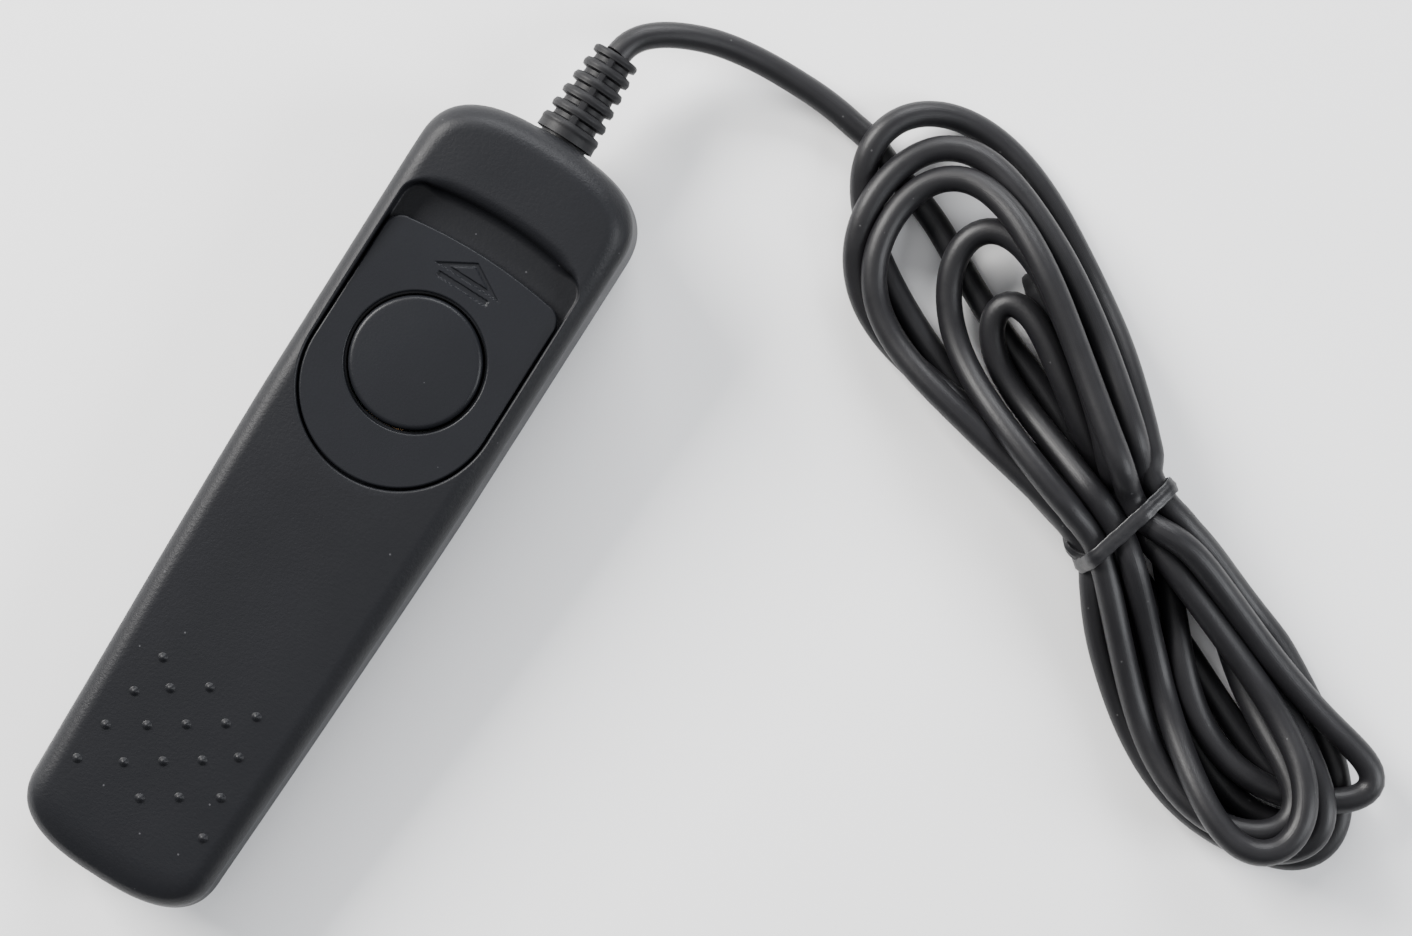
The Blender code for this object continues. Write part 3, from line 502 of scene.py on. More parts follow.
def cordRoute():
    # x, y, height and whether the point is held, all along the cord
    lead = np.array(cord["lead"]) * mm
    under = np.array(cord["under"])
    rows = [np.column_stack([lead, np.ones(len(lead))]),
            np.column_stack([hankPlace(*under.T, np.full(len(under), cord["floor"])), np.zeros(len(under))]),
            tiePass(0, 1)]
    for number, turn in enumerate(turns):
        come, go = cord["passes"][number][0], cord["passes"][number + 1][0]
        if turn["side"] > 0:
            rows.append(turnLine(turn, go, come)[::-1])
        else:
            rows.append(turnLine(turn, come, go))
        rows.append(tiePass(number + 1, -turn["side"]))
    rows.append(np.array([[*plugPoint(plug["tip"] + 0.3), plug["z"] * mm, 1]]))
    return splineThrough(np.vstack(rows), cord["spacing"] * mm)


def bendStiffness(count, stiffness):
    # the matrix that eases a row of values towards one with little change of slope
    second = np.diff(np.eye(count), n=2, axis=0)
    return np.linalg.inv(np.eye(count) + stiffness * second.T @ second)


def settleCord(route):
    # the cord sinks under its weight, stays stiff, and rests on the floor, the plug and itself;
    # what starts higher stays above
    radius = cord["radius"] * mm
    start, held = route[:, :3], route[:, 3] > 0.55
    count = len(start)
    free = np.where(held, 0.0, 1.0)[:, None]
    line = start.copy()
    stiff, calm = bendStiffness(count, settle["height"]), bendStiffness(count, settle["plan"])
    home = start[:, :2] + (bendStiffness(count, settle["startPlan"]) @ start[:, :2] - start[:, :2]) * free
    along = np.arange(plug["tip"], plug["pinEnd"], 1.2)
    solid = np.column_stack([plugPoint(along), np.full(len(along), plug["z"] * mm)])
    plugReach = np.array(plug["reach"])
    sizes = np.concatenate([np.full(count, radius), np.interp(along, *plugReach.T) * mm])
    order = np.concatenate([start[:, 2], np.full(len(along), -1.0)])
    moves = np.concatenate([free[:, 0], np.zeros(len(along))])
    index = np.arange(len(sizes))
    for step in range(settle["steps"]):
        if step % settle["refresh"] == 0:
            # pairs that may touch: not neighbours along the cord, nor the cord's end and its own plug
            whole = np.vstack([line, solid])
            apart = ((whole[:, None, :2] - whole[None, :, :2]) ** 2).sum(2)
            close = (sizes[:, None] + sizes[None] + settle["reach"] * mm) ** 2
            near = (apart < close) & (index[:, None] - index[None] > 5)
            near[count:, count - 6:] = False
            upper, lower = np.nonzero(near)
            sign = np.where(order[upper] >= order[lower], 1.0, -1.0)
            gap = sizes[upper] + sizes[lower]
            share = np.maximum(moves[upper] + moves[lower], 1e-9)
        sink = (settle["sink"] if step < 0.8 * settle["steps"] else settle["lastSink"]) * mm
        line[:, 2] = np.where(held, start[:, 2], stiff @ (line[:, 2] - sink))
        line[:, :2] = home + calm @ (line[:, :2] - home) * settle["hold"] * free
        for _ in range(settle["pushes"]):
            whole = np.vstack([line, solid])
            offset = whole[upper] - whole[lower]
            rise = sign * offset[:, 2]
            flat = np.hypot(offset[:, 0], offset[:, 1])
            depth = np.where(rise > 0, gap - np.hypot(flat, rise), gap - flat - rise)
            depth = np.where(flat < gap, np.maximum(depth, 0), 0)
            way = np.column_stack([offset[:, :2] * 0.5, sign * np.maximum(rise, 0.25 * gap)])
            way *= (depth / np.linalg.norm(way, axis=1) / share)[:, None]
            push = np.column_stack([
                np.bincount(upper, way[:, k] * moves[upper], len(whole))
                - np.bincount(lower, way[:, k] * moves[lower], len(whole)) for k in range(3)])
            touches = np.bincount(upper, depth > 0, len(whole)) + np.bincount(lower, depth > 0, len(whole))
            line += (push / np.maximum(touches, 1)[:, None] * settle["push"])[:count] * free
            line[:, 2] = np.maximum(line[:, 2], radius)
    line[:, :2] = home + (bendStiffness(count, settle["lastPlan"]) @ (line[:, :2] - home)) * free
    line[:, 2] = np.maximum(bendStiffness(count, settle["lastHeight"]) @ line[:, 2], radius)
    return line


def capped(rings, line):
    # the rings round a line, closed by a pole at each of its ends
    ends = [np.repeat(line[k][None, None], rings.shape[1], axis=1) for k in (0, -1)]
    return np.concatenate([ends[0], rings, ends[1]])


def tubeGrid(line, radius, sides):
    # a ring square to the line at each point; the line is never upright, so up gives the ring its start
    tangent = unit(np.gradient(line, axis=0))
    side = unit(np.cross(tangent, (0, 0, 1.0)))
    top = np.cross(side, tangent)
    angle = roundAngles(sides)[None, :, None]
    radius = np.broadcast_to(radius, len(line))[:, None, None]
    return capped(line[:, None] + radius * (np.cos(angle) * side[:, None] + np.sin(angle) * top[:, None]), line)


def makeCord(finish):
    line = splineThrough(settleCord(cordRoute()), cord["meshStep"] * mm)
    sides = 18
    grid = tubeGrid(line, cord["radius"] * mm, sides)
    far = np.pad(farAlong(line), 1, "edge")
    maps = np.stack(np.broadcast_arrays(np.abs(np.linspace(-1, 1, sides, endpoint=False))[None, :],
                                        far[:, None]), axis=-1).reshape(-1, 2)
    piece = meshPiece("cord", [(grid, False)], finish, maps, sharpAngle=80)
    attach(piece, "root")
    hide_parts("cable_lead", "cable_hank")
    return piece, line


# The tie: a wire-cored band pulled tight round the hank, its two ends twisted together.
tie = dict(band=1.75, skin=0.2, wire=0.13, wireWidth=0.3, clear=0.1, catch=1.6, slant=-0.17, shift=1.0,
           tailWidth=0.75, tailTaper=0.35, tailThick=1.5, tailTurns=0.3, core=0.16,
           tail=((2.1, -4.9, 7.3), (1.1, -5.8, 6.7), (-0.2, -6.2, 6.2), (-1.3, -5.9, 5.8), (-2.1, -5.3, 5.5)))


def tieLoop(line):
    # the outline of the passes through the tie, grown by the cord's and the band's half thickness:
    # in each direction the outermost pass sets the reach
    relative = line[:, :2] / mm - np.array(cord["tie"])
    angle = math.radians(cord["angle"])
    along = relative[:, 0] * math.cos(angle) + relative[:, 1] * math.sin(angle)
    across = -relative[:, 0] * math.sin(angle) + relative[:, 1] * math.cos(angle)
    inside = np.abs(along) < tie["catch"]
    hubs = np.column_stack([across[inside], line[inside, 2] / mm])
    way = np.linspace(0, 2 * math.pi, 721)
    toward = compass(way)
    hub = hubs[(toward @ hubs.T).argmax(1)]
    grow = cord["radius"] + tie["clear"] + tie["skin"]
    loop = hub + toward * grow
    loop[:, 1] = np.maximum(loop[:, 1], tie["skin"] + 0.15)
    loop = evenly(np.column_stack([loop, np.zeros(len(loop))]), 0.28)[:-1, :2]
    normal = np.roll(loop, -1, axis=0) - np.roll(loop, 1, axis=0)
    normal = np.column_stack([normal[:, 1], -normal[:, 0]])
    return loop, unit(normal)


def bandSection(steps=28):
    # a flat oval with a ridge along its middle, where the wire is: width first, then thickness
    angle = roundAngles(steps)
    wide = np.sign(np.cos(angle)) * np.abs(np.cos(angle)) ** 0.7 * tie["band"] / 2
    ridge = tie["wire"] * np.exp(-(wide / tie["wireWidth"]) ** 2)
    return wide, np.sign(np.sin(angle)) * np.abs(np.sin(angle)) ** 0.5 * (tie["skin"] + ridge)


def makeTie(line, finish, wireFinish):
    loop, normal = tieLoop(line)
    wide, thick = bandSection()
    across = loop[:, None, 0] + normal[:, None, 0] * thick
    height = loop[:, None, 1] + normal[:, None, 1] * thick
    step = np.arange(len(loop))[:, None]
    crumple = 0.04 * np.sin(step * 0.9) * np.sin(step * 0.31)
    along = tie["shift"] + tie["slant"] * loop[:, None, 0] + wide + crumple
    band = np.concatenate([hankPlan(along, across), height[..., None] * mm], axis=-1)
    tail = splineThrough(np.array(tie["tail"]), 0.16)
    share = np.linspace(0, 1, len(tail))
    twist = 2 * math.pi * tie["tailTurns"] * share[:, None]
    slim = (tie["tailWidth"] * (1 - tie["tailTaper"] * share ** 3))[:, None]
    tangent = unit(np.gradient(tail, axis=0))
    side = np.cross(tangent, (0, 0, 1.0))
    top = np.cross(side, tangent)
    thick = thick * tie["tailThick"]
    first = slim * (wide * np.cos(twist) - thick * np.sin(twist))
    second = slim * (wide * np.sin(twist) + thick * np.cos(twist))
    rings = tail[:, None] + first[..., None] * side[:, None] + second[..., None] * top[:, None]
    rings = capped(rings, tail)
    ribbon = np.concatenate([hankPlan(rings[..., 0], rings[..., 1]), rings[..., 2:] * mm], axis=-1)
    piece = meshPiece("wireTie", [(band, True), (ribbon, False)], finish)
    stub = tail[-1] + tangent[-1] * np.linspace(-0.4, 0.5, 6)[:, None]
    core = tubeGrid(hankPlace(*stub.T), tie["core"] * mm, 12)
    wire = meshPiece("tieWire", [(core, False)], wireFinish)
    for made, slot in ((piece, "tie_plastic"), (wire, "spring_steel")):
        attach(made, "root")
    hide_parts("twist_tie")
    return [piece, wire]


# The plug: its grip and every contact are turned on the plug's own axis, which lies level.
def plugGrid(profile):
    axis = np.array([*unit(plugPoint(1.0) - plugPoint(0.0)), 0])
    center = [*plugPoint(0.0), plug["z"] * mm]
    return turnedGrid(np.array(profile) * mm, center, axis, (0, 0, 1), 72)


def makePlug(rubber, nickel, insulator):
    # grip: a slim relief, a shoulder, then rings of shallow grooves to hold it by
    y = np.linspace(-0.6, 17.6, 260)
    groove = smoothStep(np.cos(2 * math.pi * (y - 3.4) / 1.9), 0.2, 0.8) * smoothStep(y, 3.2, 3.6) \
        * (1 - smoothStep(y, 12.6, 13.0))
    body = 2.35 + 0.65 * smoothStep(y, -0.6, 0.8) - 0.28 * groove - 0.2 * smoothStep(y, 16.2, 17.6)
    tipRings = 0.16 * smoothStep(np.sin(np.linspace(0, 6 * math.pi, 60)), -0.2, 0.6)
    nose = np.column_stack([np.linspace(1.86, 2.3, 60) + tipRings - 0.1, np.linspace(-4.4, -0.7, 60)])
    profile = np.vstack([[(0, -4.6), (1.6, -4.6), (1.78, -4.5)], nose, np.column_stack([body, y]),
                         [(2.7, 18.2), (2.55, 18.6), (2.2, 18.8), (0, 18.8)]])
    made = {"plug_grip": (profile, rubber, "relief_rubber")}
    pin, land, bevel = plug["pin"], plug["land"], plug["bevel"]
    for name, low, high in plug["contacts"]:
        isRing = "insulator" in name
        start, stop = land + low, land + high
        made[name] = ([(0, start), (pin - bevel, start), (pin, start + bevel), (pin, stop - bevel),
                       (pin - bevel, stop), (0, stop)],
                      insulator if isRing else nickel, "plug_insulator" if isRing else "plug_nickel")
    nose = splineThrough([(*row, 0) for row in plug["nose"]], 0.06)[:, :2] + (0, land)
    made["jack_tip"] = (np.vstack([[(0, land + 7.8), (pin - bevel, land + 7.8), (pin, land + 7.88)], nose,
                                   [(0, land + 11)]]), nickel, "plug_nickel")
    pieces = []
    for node, (rows, finish, slot) in made.items():
        piece = meshPiece("fine_" + node, [(plugGrid(rows), False)], finish)
        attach(piece, "root")
        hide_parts(node)
        pieces.append(piece)
    return pieces


# The handset: the plan outline is two superellipse ends joined by tapered sides.
handset = dict(tail=-52.55, head=41.45, headHalf=13.0, tailHalf=11.7, taperStart=55, taperPower=1.3,
               tailRound=7, headRound=8, endPower=2.65, split=8.0, tailTop=12.2, headTop=17.0, draft=0.3,
               wall=1.6, seam=0.15, edge=2.45, headEdge=3.3, bottomEdge=3.0, mouth=3.05, ceiling=12.4,
               crown=0.28, crownWidth=7.5)
plate = dict(half=10.65, roundY=9.75, top=26.35, arch=0.7, corner=2.0, low=13.9, high=14.9, edge=0.22,
             lip=0.3, legX=(7.95, 9.05), legY=(2.6, 7.3), legZ=(10.1, 14.2))
recess = dict(gap=0.3, top=30.65, arch=0.9, corner=2.4, floor=13.6)
buttonPlace = dict(y=12.95, radius=7.15, hole=7.6, skirt=7.24, crown=15.4, rim=14.95, round=0.55)
# the opening in the recess floor: half an ellipse below, and straight above
window = dict(half=9.4, low=7.6, center=0.3, top=12.1, arch=0.3, corner=1.2)
# how far inside the top's border each ring of its rounded edge lies
edgeRings = (0, 0.02, 0.06, 0.13, 0.23, 0.36, 0.52, 0.72, 0.95, 1.15)
dots = dict(below=69.45, pitch=2.35, radius=0.56, height=0.34, rows=7, wide=5.9, widen=0.34, pair=3.5, sides=24,
            shares=(0, 0.12, 0.25, 0.4, 0.55, 0.7, 0.82, 0.92, 1, 1, 0.5, 0), root=(-0.3, -0.35, -0.35))
# counterbores near both ends of the bottom, as distances from the end and from the middle line
wells = dict(fromTail=(10, 7.6), fromHead=(8, 8.0),
             boss=((2.05, 0.5), (2.7, 0.5), (2.7, 7.7), (1.3, 7.7), (1.3, 2.0), (2.05, 2.0)),
             bossRounds=(0, 0, 0.15, 0.05, 0.05, 0.05),
             cut=((0, -1), (2.35, -1), (2.35, 0), (2.05, 0.3), (2.05, 1.9), (0, 1.9)))
mark = dict(apex=25.15, foot=23.35, half=3.1, line=0.16, soft=0.12, barHalf=3.0, barPlace=22.25, barWide=0.24,
            barSoft=0.14, depth=0.2)
spring = dict(turns=3.5, radius=2.6, wire=0.16, low=11.3, high=14.0)


def sideHalf(y):
    taper = handset["taperStart"] - handset["tailRound"]
    drawn = np.clip((handset["tail"] + handset["taperStart"] - y) / taper, 0, 1)
    return handset["headHalf"] - (handset["headHalf"] - handset["tailHalf"]) * drawn ** handset["taperPower"]


def handsetOutline(inset, endSteps=44, sideSteps=150):
    # x = half * sin(a)^(2/p), y = end * cos(a)^(2/p) at both ends, and the drawn-in sides between
    power = 2 / handset["endPower"]
    a = math.pi / 2 * (np.arange(endSteps) + 0.5) / endSteps
    tail = np.column_stack([(handset["tailHalf"] - inset) * np.sin(a) ** power,
                            handset["tail"] + handset["tailRound"]
                            - (handset["tailRound"] - inset) * np.cos(a) ** power])
    y = np.linspace(handset["tail"] + handset["tailRound"], handset["head"] - handset["headRound"], sideSteps)
    side = np.column_stack([sideHalf(y) - inset, y])
    a = a[::-1]
    head = np.column_stack([(handset["headHalf"] - inset) * np.sin(a) ** power,
                            handset["head"] - handset["headRound"]
                            + (handset["headRound"] - inset) * np.cos(a) ** power])
    right = np.vstack([tail, side, head])
    return np.vstack([right, right[::-1] * (-1, 1)])


def topHeight(y):
    share = (y - handset["tail"]) / (handset["head"] - handset["tail"])
    return handset["tailTop"] + (handset["headTop"] - handset["tailTop"]) * share


def insideBy(points):
    # how far each plan point lies inside the drafted outline
    border = handsetOutline(handset["draft"])
    nextPoint = np.roll(border, -1, axis=0)
    edge = nextPoint - border
    length = (edge ** 2).sum(1)
    away = np.empty(len(points))
    for block in np.array_split(np.arange(len(points)), max(1, len(points) // 4000)):
        offset = points[block, None] - border[None]
        share = np.clip((offset * edge).sum(2) / length, 0, 1)
        away[block] = np.sqrt(((offset - share[..., None] * edge) ** 2).sum(2).min(1))
    return away


def skinHeight(points, inside):
    # the top face: it falls off by a quarter round at the edge, wider at the cord end, and by a faint
    # crown that starts further in
    y = points[:, 1]
    radius = handset["edge"] + (handset["headEdge"] - handset["edge"]) * smoothStep(y, 30, 40)
    near = np.clip(1 - inside / radius, 0, 1)
    drop = radius * (1 - np.sqrt(1 - near ** 2))
    soft = np.clip(1 - inside / handset["crownWidth"], 0, 1) ** 2 * handset["crown"]
    return topHeight(y) - drop - soft


def shieldOutline(half, roundY, top, arch, corner):
    # a half circle below, straight sides, round corners and a low arched top, as a closed dense line
    a = np.linspace(0, math.pi, 200)
    bottom = np.column_stack([-half * np.cos(a), roundY - half * np.sin(a)])
    a = np.linspace(0, math.pi / 2, 50)
    side = np.array([[half, y] for y in np.linspace(roundY, top - arch - corner, 60)[1:-1]])
    cornerRight = np.array([half, top - arch]) + corner * (compass(a) - 1)
    x = np.linspace(half - corner, corner - half, 120)[1:-1]
    crest = np.column_stack([x, top - arch * (x / (half - corner)) ** 2])
    return np.vstack([bottom, side, cornerRight, crest, cornerRight[::-1] * (-1, 1), side[::-1] * (-1, 1)])


def reachAt(outline, center, angle):
    # the distance from center to a star-shaped outline in each direction
    offset = outline - center
    around = np.arctan2(offset[:, 1], offset[:, 0])
    order = np.argsort(around)
    return np.interp(angle, around[order], np.hypot(*offset.T)[order], period=2 * math.pi)


def recessOutline():
    return shieldOutline(plate["half"] + recess["gap"], plate["roundY"], recess["top"], recess["arch"],
                         recess["corner"])


def mouthRise(points):
    # the half-round mouth for the cord's relief, cut into both shells at the cord end
    x = np.abs(points[:, 0])
    atHead = points[:, 1] > handset["head"] - 4
    return np.where(atHead, np.sqrt(np.maximum(handset["mouth"] ** 2 - x ** 2, 0)), 0)


def shellRing(points, height):
    return np.column_stack([points, np.broadcast_to(height, len(points))])


def makeUpperShell(finish):
    # one closed surface of rings: up the wall, over the edge, in to the recess, down to its floor, through
    # the slider's window, out below, and down the inner wall to the seam
    center = np.array([0, 14.9])
    rings = []

    def ring(points, height):
        rings.append(shellRing(points, height))

    seam = handset["split"] + handset["seam"]
    outer = handsetOutline(0)
    wallStart = seam + 0.16 + mouthRise(outer)
    ring(handsetOutline(0.12), seam + mouthRise(outer))
    ring(handsetOutline(0.03), seam + 0.06 + mouthRise(outer))
    ring(outer, wallStart)
    edgeStart = skinHeight(outer, np.zeros(len(outer)))
    for share in (0.05, 0.3, 0.6, 0.85, 0.97):
        ring(handsetOutline(handset["draft"] * share), wallStart + (edgeStart - wallStart) * share)
    for inside in edgeRings:
        points = handsetOutline(handset["draft"] + inside)
        ring(points, skinHeight(points, np.full(len(points), inside)))
    brink = handsetOutline(handset["draft"] + edgeRings[-1])
    angle = np.arctan2(*(brink - center).T[::-1])
    direction = compass(angle)

    def ringAt(reach, height):
        ring(center + direction * reach[:, None], height)

    # the lip is tight at the sides and broad on the arch
    onArch = smoothStep(np.sin(angle), 0.80, 0.93)
    lip = plate["lip"] + 1.25 * onArch
    border = reachAt(recessOutline(), center, angle)
    lipStart = center + direction * (border + lip)[:, None]
    for share in np.linspace(0, 1, 40)[1:]:
        points = brink + (lipStart - brink) * share ** 0.9
        ring(points, skinHeight(points, insideBy(points)))
    lipHeight = skinHeight(lipStart, insideBy(lipStart))
    for a in np.radians([12, 25, 38, 52, 65, 78, 90]):
        ringAt(border + lip * (1 - np.sin(a)), lipHeight - lip * (1 - np.cos(a)))
    floorZ = recess["floor"]
    wallTop = lipHeight - lip
    cove = np.maximum(np.minimum(0.35 + 0.9 * onArch, 0.8 * (wallTop - floorZ)), 0.05)
    for a in np.radians([0, 20, 40, 60, 80, 90]):
        ringAt(border - 0.02 - cove * (1 - np.cos(a)), np.minimum(floorZ + cove * (1 - np.sin(a)), wallTop))
    middle = buttonPlace["y"] + window["center"]
    opening = shieldOutline(window["half"], middle, buttonPlace["y"] + window["top"], window["arch"],
                            window["corner"])
    opening[:, 1] = np.where(opening[:, 1] < middle,
                             middle + (opening[:, 1] - middle) * window["low"] / window["half"], opening[:, 1])
    hole = reachAt(opening, center, angle)
    inner = border - 0.02 - cove
    for share in (0.25, 0.5, 0.75, 1):
        ringAt(inner + (hole - inner) * share, floorZ)
    ringAt(hole, floorZ - 0.6)
    ringAt(hole, handset["ceiling"])
    wallIn = handsetOutline(handset["wall"] + handset["draft"])
    ceiling = np.minimum(topHeight(wallIn[:, 1]) - handset["wall"], handset["ceiling"])
    rim = center + direction * hole[:, None]
    for share in np.linspace(0, 1, 12)[1:]:
        points = rim + (wallIn - rim) * share
        ring(points, np.minimum(topHeight(points[:, 1]) - handset["wall"], handset["ceiling"]))
    inside = handsetOutline(handset["wall"])
    rise = mouthRise(inside)
    ring(inside, np.minimum(ceiling - 0.5, np.maximum(10, seam + rise + 0.3)))
    ring(inside, seam + rise)
    piece = meshPiece("upperCase", [(np.stack(rings) * mm, True)] + gripDots(), finish)
    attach(piece, "root")
    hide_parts("upper_shell")


def gripDots():
    # low domes in rows of three and two by turns: height falls as (1 - r^2)^1.5 into the skin
    share = np.array(dots["shares"])
    lift = dots["height"] * (1 - share ** 2) ** 1.5
    lift[-3:] = dots["root"]
    angle = roundAngles(dots["sides"])
    reach = dots["radius"] * share[:, None]
    grids = []
    for row in range(dots["rows"]):
        spread = dots["wide"] + dots["widen"] * row
        y = handset["head"] - dots["below"] - row * dots["pitch"]
        for x in ((-spread, 0, spread) if row % 2 == 0 else (-dots["pair"], dots["pair"])):
            spot = np.array([[x, y]])
            height = skinHeight(spot, insideBy(spot))[0] + lift
            grid = np.stack(np.broadcast_arrays(x + reach * np.cos(angle), y + reach * np.sin(angle),
                                                height[:, None]), axis=-1)
            grids.append((grid * mm, False))
    return grids


def makeLowerShell(finish):
    # one closed surface: from the middle of the bottom out, over the edge, up the wall, over the seam and
    # down the inside to the middle of its floor; the bottom rings close on the handset's spine
    rings = []
    outer = handsetOutline(0)
    spineY = (handset["tail"] + 11, handset["head"] - 12)

    def ring(points, height):
        rings.append(shellRing(points, height))

    def closing(edge, shares, height):
        spine = np.column_stack([np.zeros(len(edge)), np.clip(edge[:, 1], *spineY)])
        for share in shares:
            ring(spine + (edge - spine) * share, height)

    radius = handset["bottomEdge"]
    closing(handsetOutline(handset["draft"] + radius), np.linspace(0, 1, 9)[:-1], 0)
    for a in np.radians([90, 84, 72, 60, 48, 36, 24, 12, 3, 0]):
        ring(handsetOutline(handset["draft"] + radius * (1 - np.cos(a))), radius * (1 - np.sin(a)))
    seam = handset["split"] - handset["seam"]
    wallEnd = seam - 0.16 - mouthRise(outer)
    for share in (0.3, 0.6, 0.9):
        ring(handsetOutline(handset["draft"] * (1 - share)), radius + (wallEnd - radius) * share)
    ring(outer, wallEnd)
    ring(handsetOutline(0.03), seam - 0.06 - mouthRise(outer))
    ring(handsetOutline(0.12), seam - mouthRise(outer))
    inside = handsetOutline(handset["wall"])
    ring(inside, seam - mouthRise(inside))
    ring(inside, 4.2)
    ring(handsetOutline(handset["wall"] + handset["draft"]), handset["wall"] + 1.2)
    closing(handsetOutline(handset["wall"] + 1.2), np.linspace(1, 0, 6), handset["wall"])
    piece = meshPiece("lowerCase", [(np.stack(rings) * mm, False)], finish)
    cutScrewWells(piece)
    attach(piece, "root")
    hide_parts("lower_shell")


def cutScrewWells(piece):
    # four counterbores in the bottom, each lined by its boss: the wells are cut, then the bosses are added
    (fromTail, tailAcross), (fromHead, headAcross) = wells["fromTail"], wells["fromHead"]
    places = [(side * across, y) for y, across in ((handset["tail"] + fromTail, tailAcross),
                                                   (handset["head"] - fromHead, headAcross))
              for side in (-1, 1)]
    boss = softProfile(wells["boss"], wells["bossRounds"])
    tools = []
    for operation, profile, closed in (("DIFFERENCE", wells["cut"], False), ("UNION", boss, True)):
        for x, y in places:
            grid = turnedGrid(np.array(profile) * mm, (x * mm, y * mm, 0), (0, 0, 1), (1, 0, 0), 48)
            tool = meshPiece(f"wellTool{len(tools)}", [(grid, closed)], piece.data.materials[0])
            step = piece.modifiers.new(tool.name, "BOOLEAN")
            step.operation = operation
            step.object = tool
            step.solver = "EXACT"
            tools.append(tool)
    bpy.context.view_layer.update()
    finished = bpy.data.meshes.new_from_object(piece.evaluated_get(bpy.context.evaluated_depsgraph_get()))
    piece.modifiers.clear()
    piece.data = finished
    finished.shade_smooth()
    finished.set_sharp_from_angle(angle=math.radians(40))
    for tool in tools:
        bpy.data.objects.remove(tool)


def engraving(x, y):
    # how deep the plate's mark is cut: a low triangle outline that points at the cord, over a short bar
    slope = (mark["apex"] - mark["foot"]) / mark["half"]
    outside = np.maximum((y - mark["apex"] + slope * np.abs(x)) / math.hypot(1, slope), mark["foot"] - y)
    outline = 1 - smoothStep(np.abs(outside), mark["line"], mark["line"] + mark["soft"])
    beyond = np.maximum(np.abs(x) - mark["barHalf"], np.abs(y - mark["barPlace"]) - mark["barWide"])
    return mark["depth"] * np.maximum(outline, 1 - smoothStep(beyond, 0, mark["barSoft"]))


def makePlate(finish):
    # a closed ring section carried round the button: the shield outline outside, the round hole inside
    center = np.array([0, buttonPlace["y"]])
    angle = np.linspace(-math.pi, math.pi, 640, endpoint=False)
    direction = compass(angle)
    shape = [plate[key] for key in ("half", "roundY", "top", "arch", "corner")]
    edge, low, high = plate["edge"], plate["low"], plate["high"]
    outer = reachAt(shieldOutline(*shape), center, angle)
    hole = np.full(len(angle), buttonPlace["hole"])
    rows = [(outer - 0.15, low), (outer, low + 0.15), (outer, high - edge)]
    rows += [(outer - edge * (1 - math.cos(a)), high - edge * (1 - math.sin(a)))
             for a in np.radians([25, 50, 72, 90])]
    rows += [(outer - edge - (outer - edge - hole - edge) * share, high)
             for share in np.linspace(0, 1, 72)[1:-1]]
    rows += [(hole + edge * (1 - math.cos(a)), high - edge * (1 - math.sin(a)))
             for a in np.radians([90, 72, 50, 25, 0])]
    rows += [(hole, low + 0.35), (hole - 0.2, low + 0.3), (hole - 0.2, low + 0.05), (hole - 0.1, low)]
    grid = np.stack([shellRing(center + direction * reach[:, None], height) for reach, height in rows])
    flat = np.isclose(grid[..., 2], high)
    grid[..., 2] -= np.where(flat, engraving(grid[..., 0], grid[..., 1]), 0)
    legs = []
    for side in (-1, 1):
        x = np.array(plate["legX"])[[0, 1, 1, 0]] * side
        y = buttonPlace["y"] + np.array(plate["legY"])[[0, 0, 1, 1]]
        box = np.stack([np.column_stack([x, y, np.full(4, z)]) for z in np.repeat(plate["legZ"], 2)])
        box[[0, 3], :, :2] = box[[0, 3], :, :2].mean(1, keepdims=True)
        legs.append((box * mm, False))
    piece = meshPiece("holdPlate", [(grid * mm, True)] + legs, finish)
    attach(piece, "slider")
    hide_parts("hold_slider")


def makeButton(finish):
    # a turned cap: crown falls as r^2 with a soft rim, hollow below, on a barbed stem
    radius, skirt, rim, crown, soft = [buttonPlace[key] for key in ("radius", "skirt", "rim", "crown", "round")]
    r = np.linspace(0, radius - soft, 26)
    top = np.column_stack([r, crown - (crown - rim) * 0.62 * (r / radius) ** 2])
    a = np.radians([15, 30, 45, 60, 75, 90])
    last = top[-1]
    edge = np.column_stack([last[0] + soft * np.sin(a), last[1] - soft * (1 - np.cos(a))])
    below = [(radius, 13.75), (skirt, 13.6), (skirt, 13.3), (6.3, 13.2), (6.3, 14.1), (1.2, 14.1), (1.2, 10.0),
             (1.8, 10.0), (1.8, 9.5), (1.2, 9.0), (0, 9.0)]
    profile = np.vstack([top, edge, below]) * mm
    grid = turnedGrid(profile, (0, buttonPlace["y"] * mm, 0), (0, 0, 1), (1, 0, 0), 128)
    piece = meshPiece("releaseButton", [(grid, False)], finish)
    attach(piece, "button")
    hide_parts("shutter_button")


def makeSpring(finish):
    # a helix that rises less steeply at both ends
    radius, wire = spring["radius"], spring["wire"]
    share = np.linspace(0, 1, 260)
    low, high = spring["low"] + wire, spring["high"] - wire
    lift = smoothStep(share, 0.0, 1.0) * 0.35 + share * 0.65
    angle = 2 * math.pi * spring["turns"] * share
    line = np.column_stack([radius * np.cos(angle), buttonPlace["y"] + radius * np.sin(angle),
                            low + (high - low) * lift]) * mm
    piece = meshPiece("returnSpring", [(tubeGrid(line, wire * mm, 12), False)], finish)
    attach(piece, "slider")
    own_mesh(piece)
    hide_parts("button_spring")


relief = dict(base=3.45, neck=2.75, flange=4.2, bore=1.75, length=11.1, grooves=5, first=2.0, pitch=1.83,
              depth=0.72)


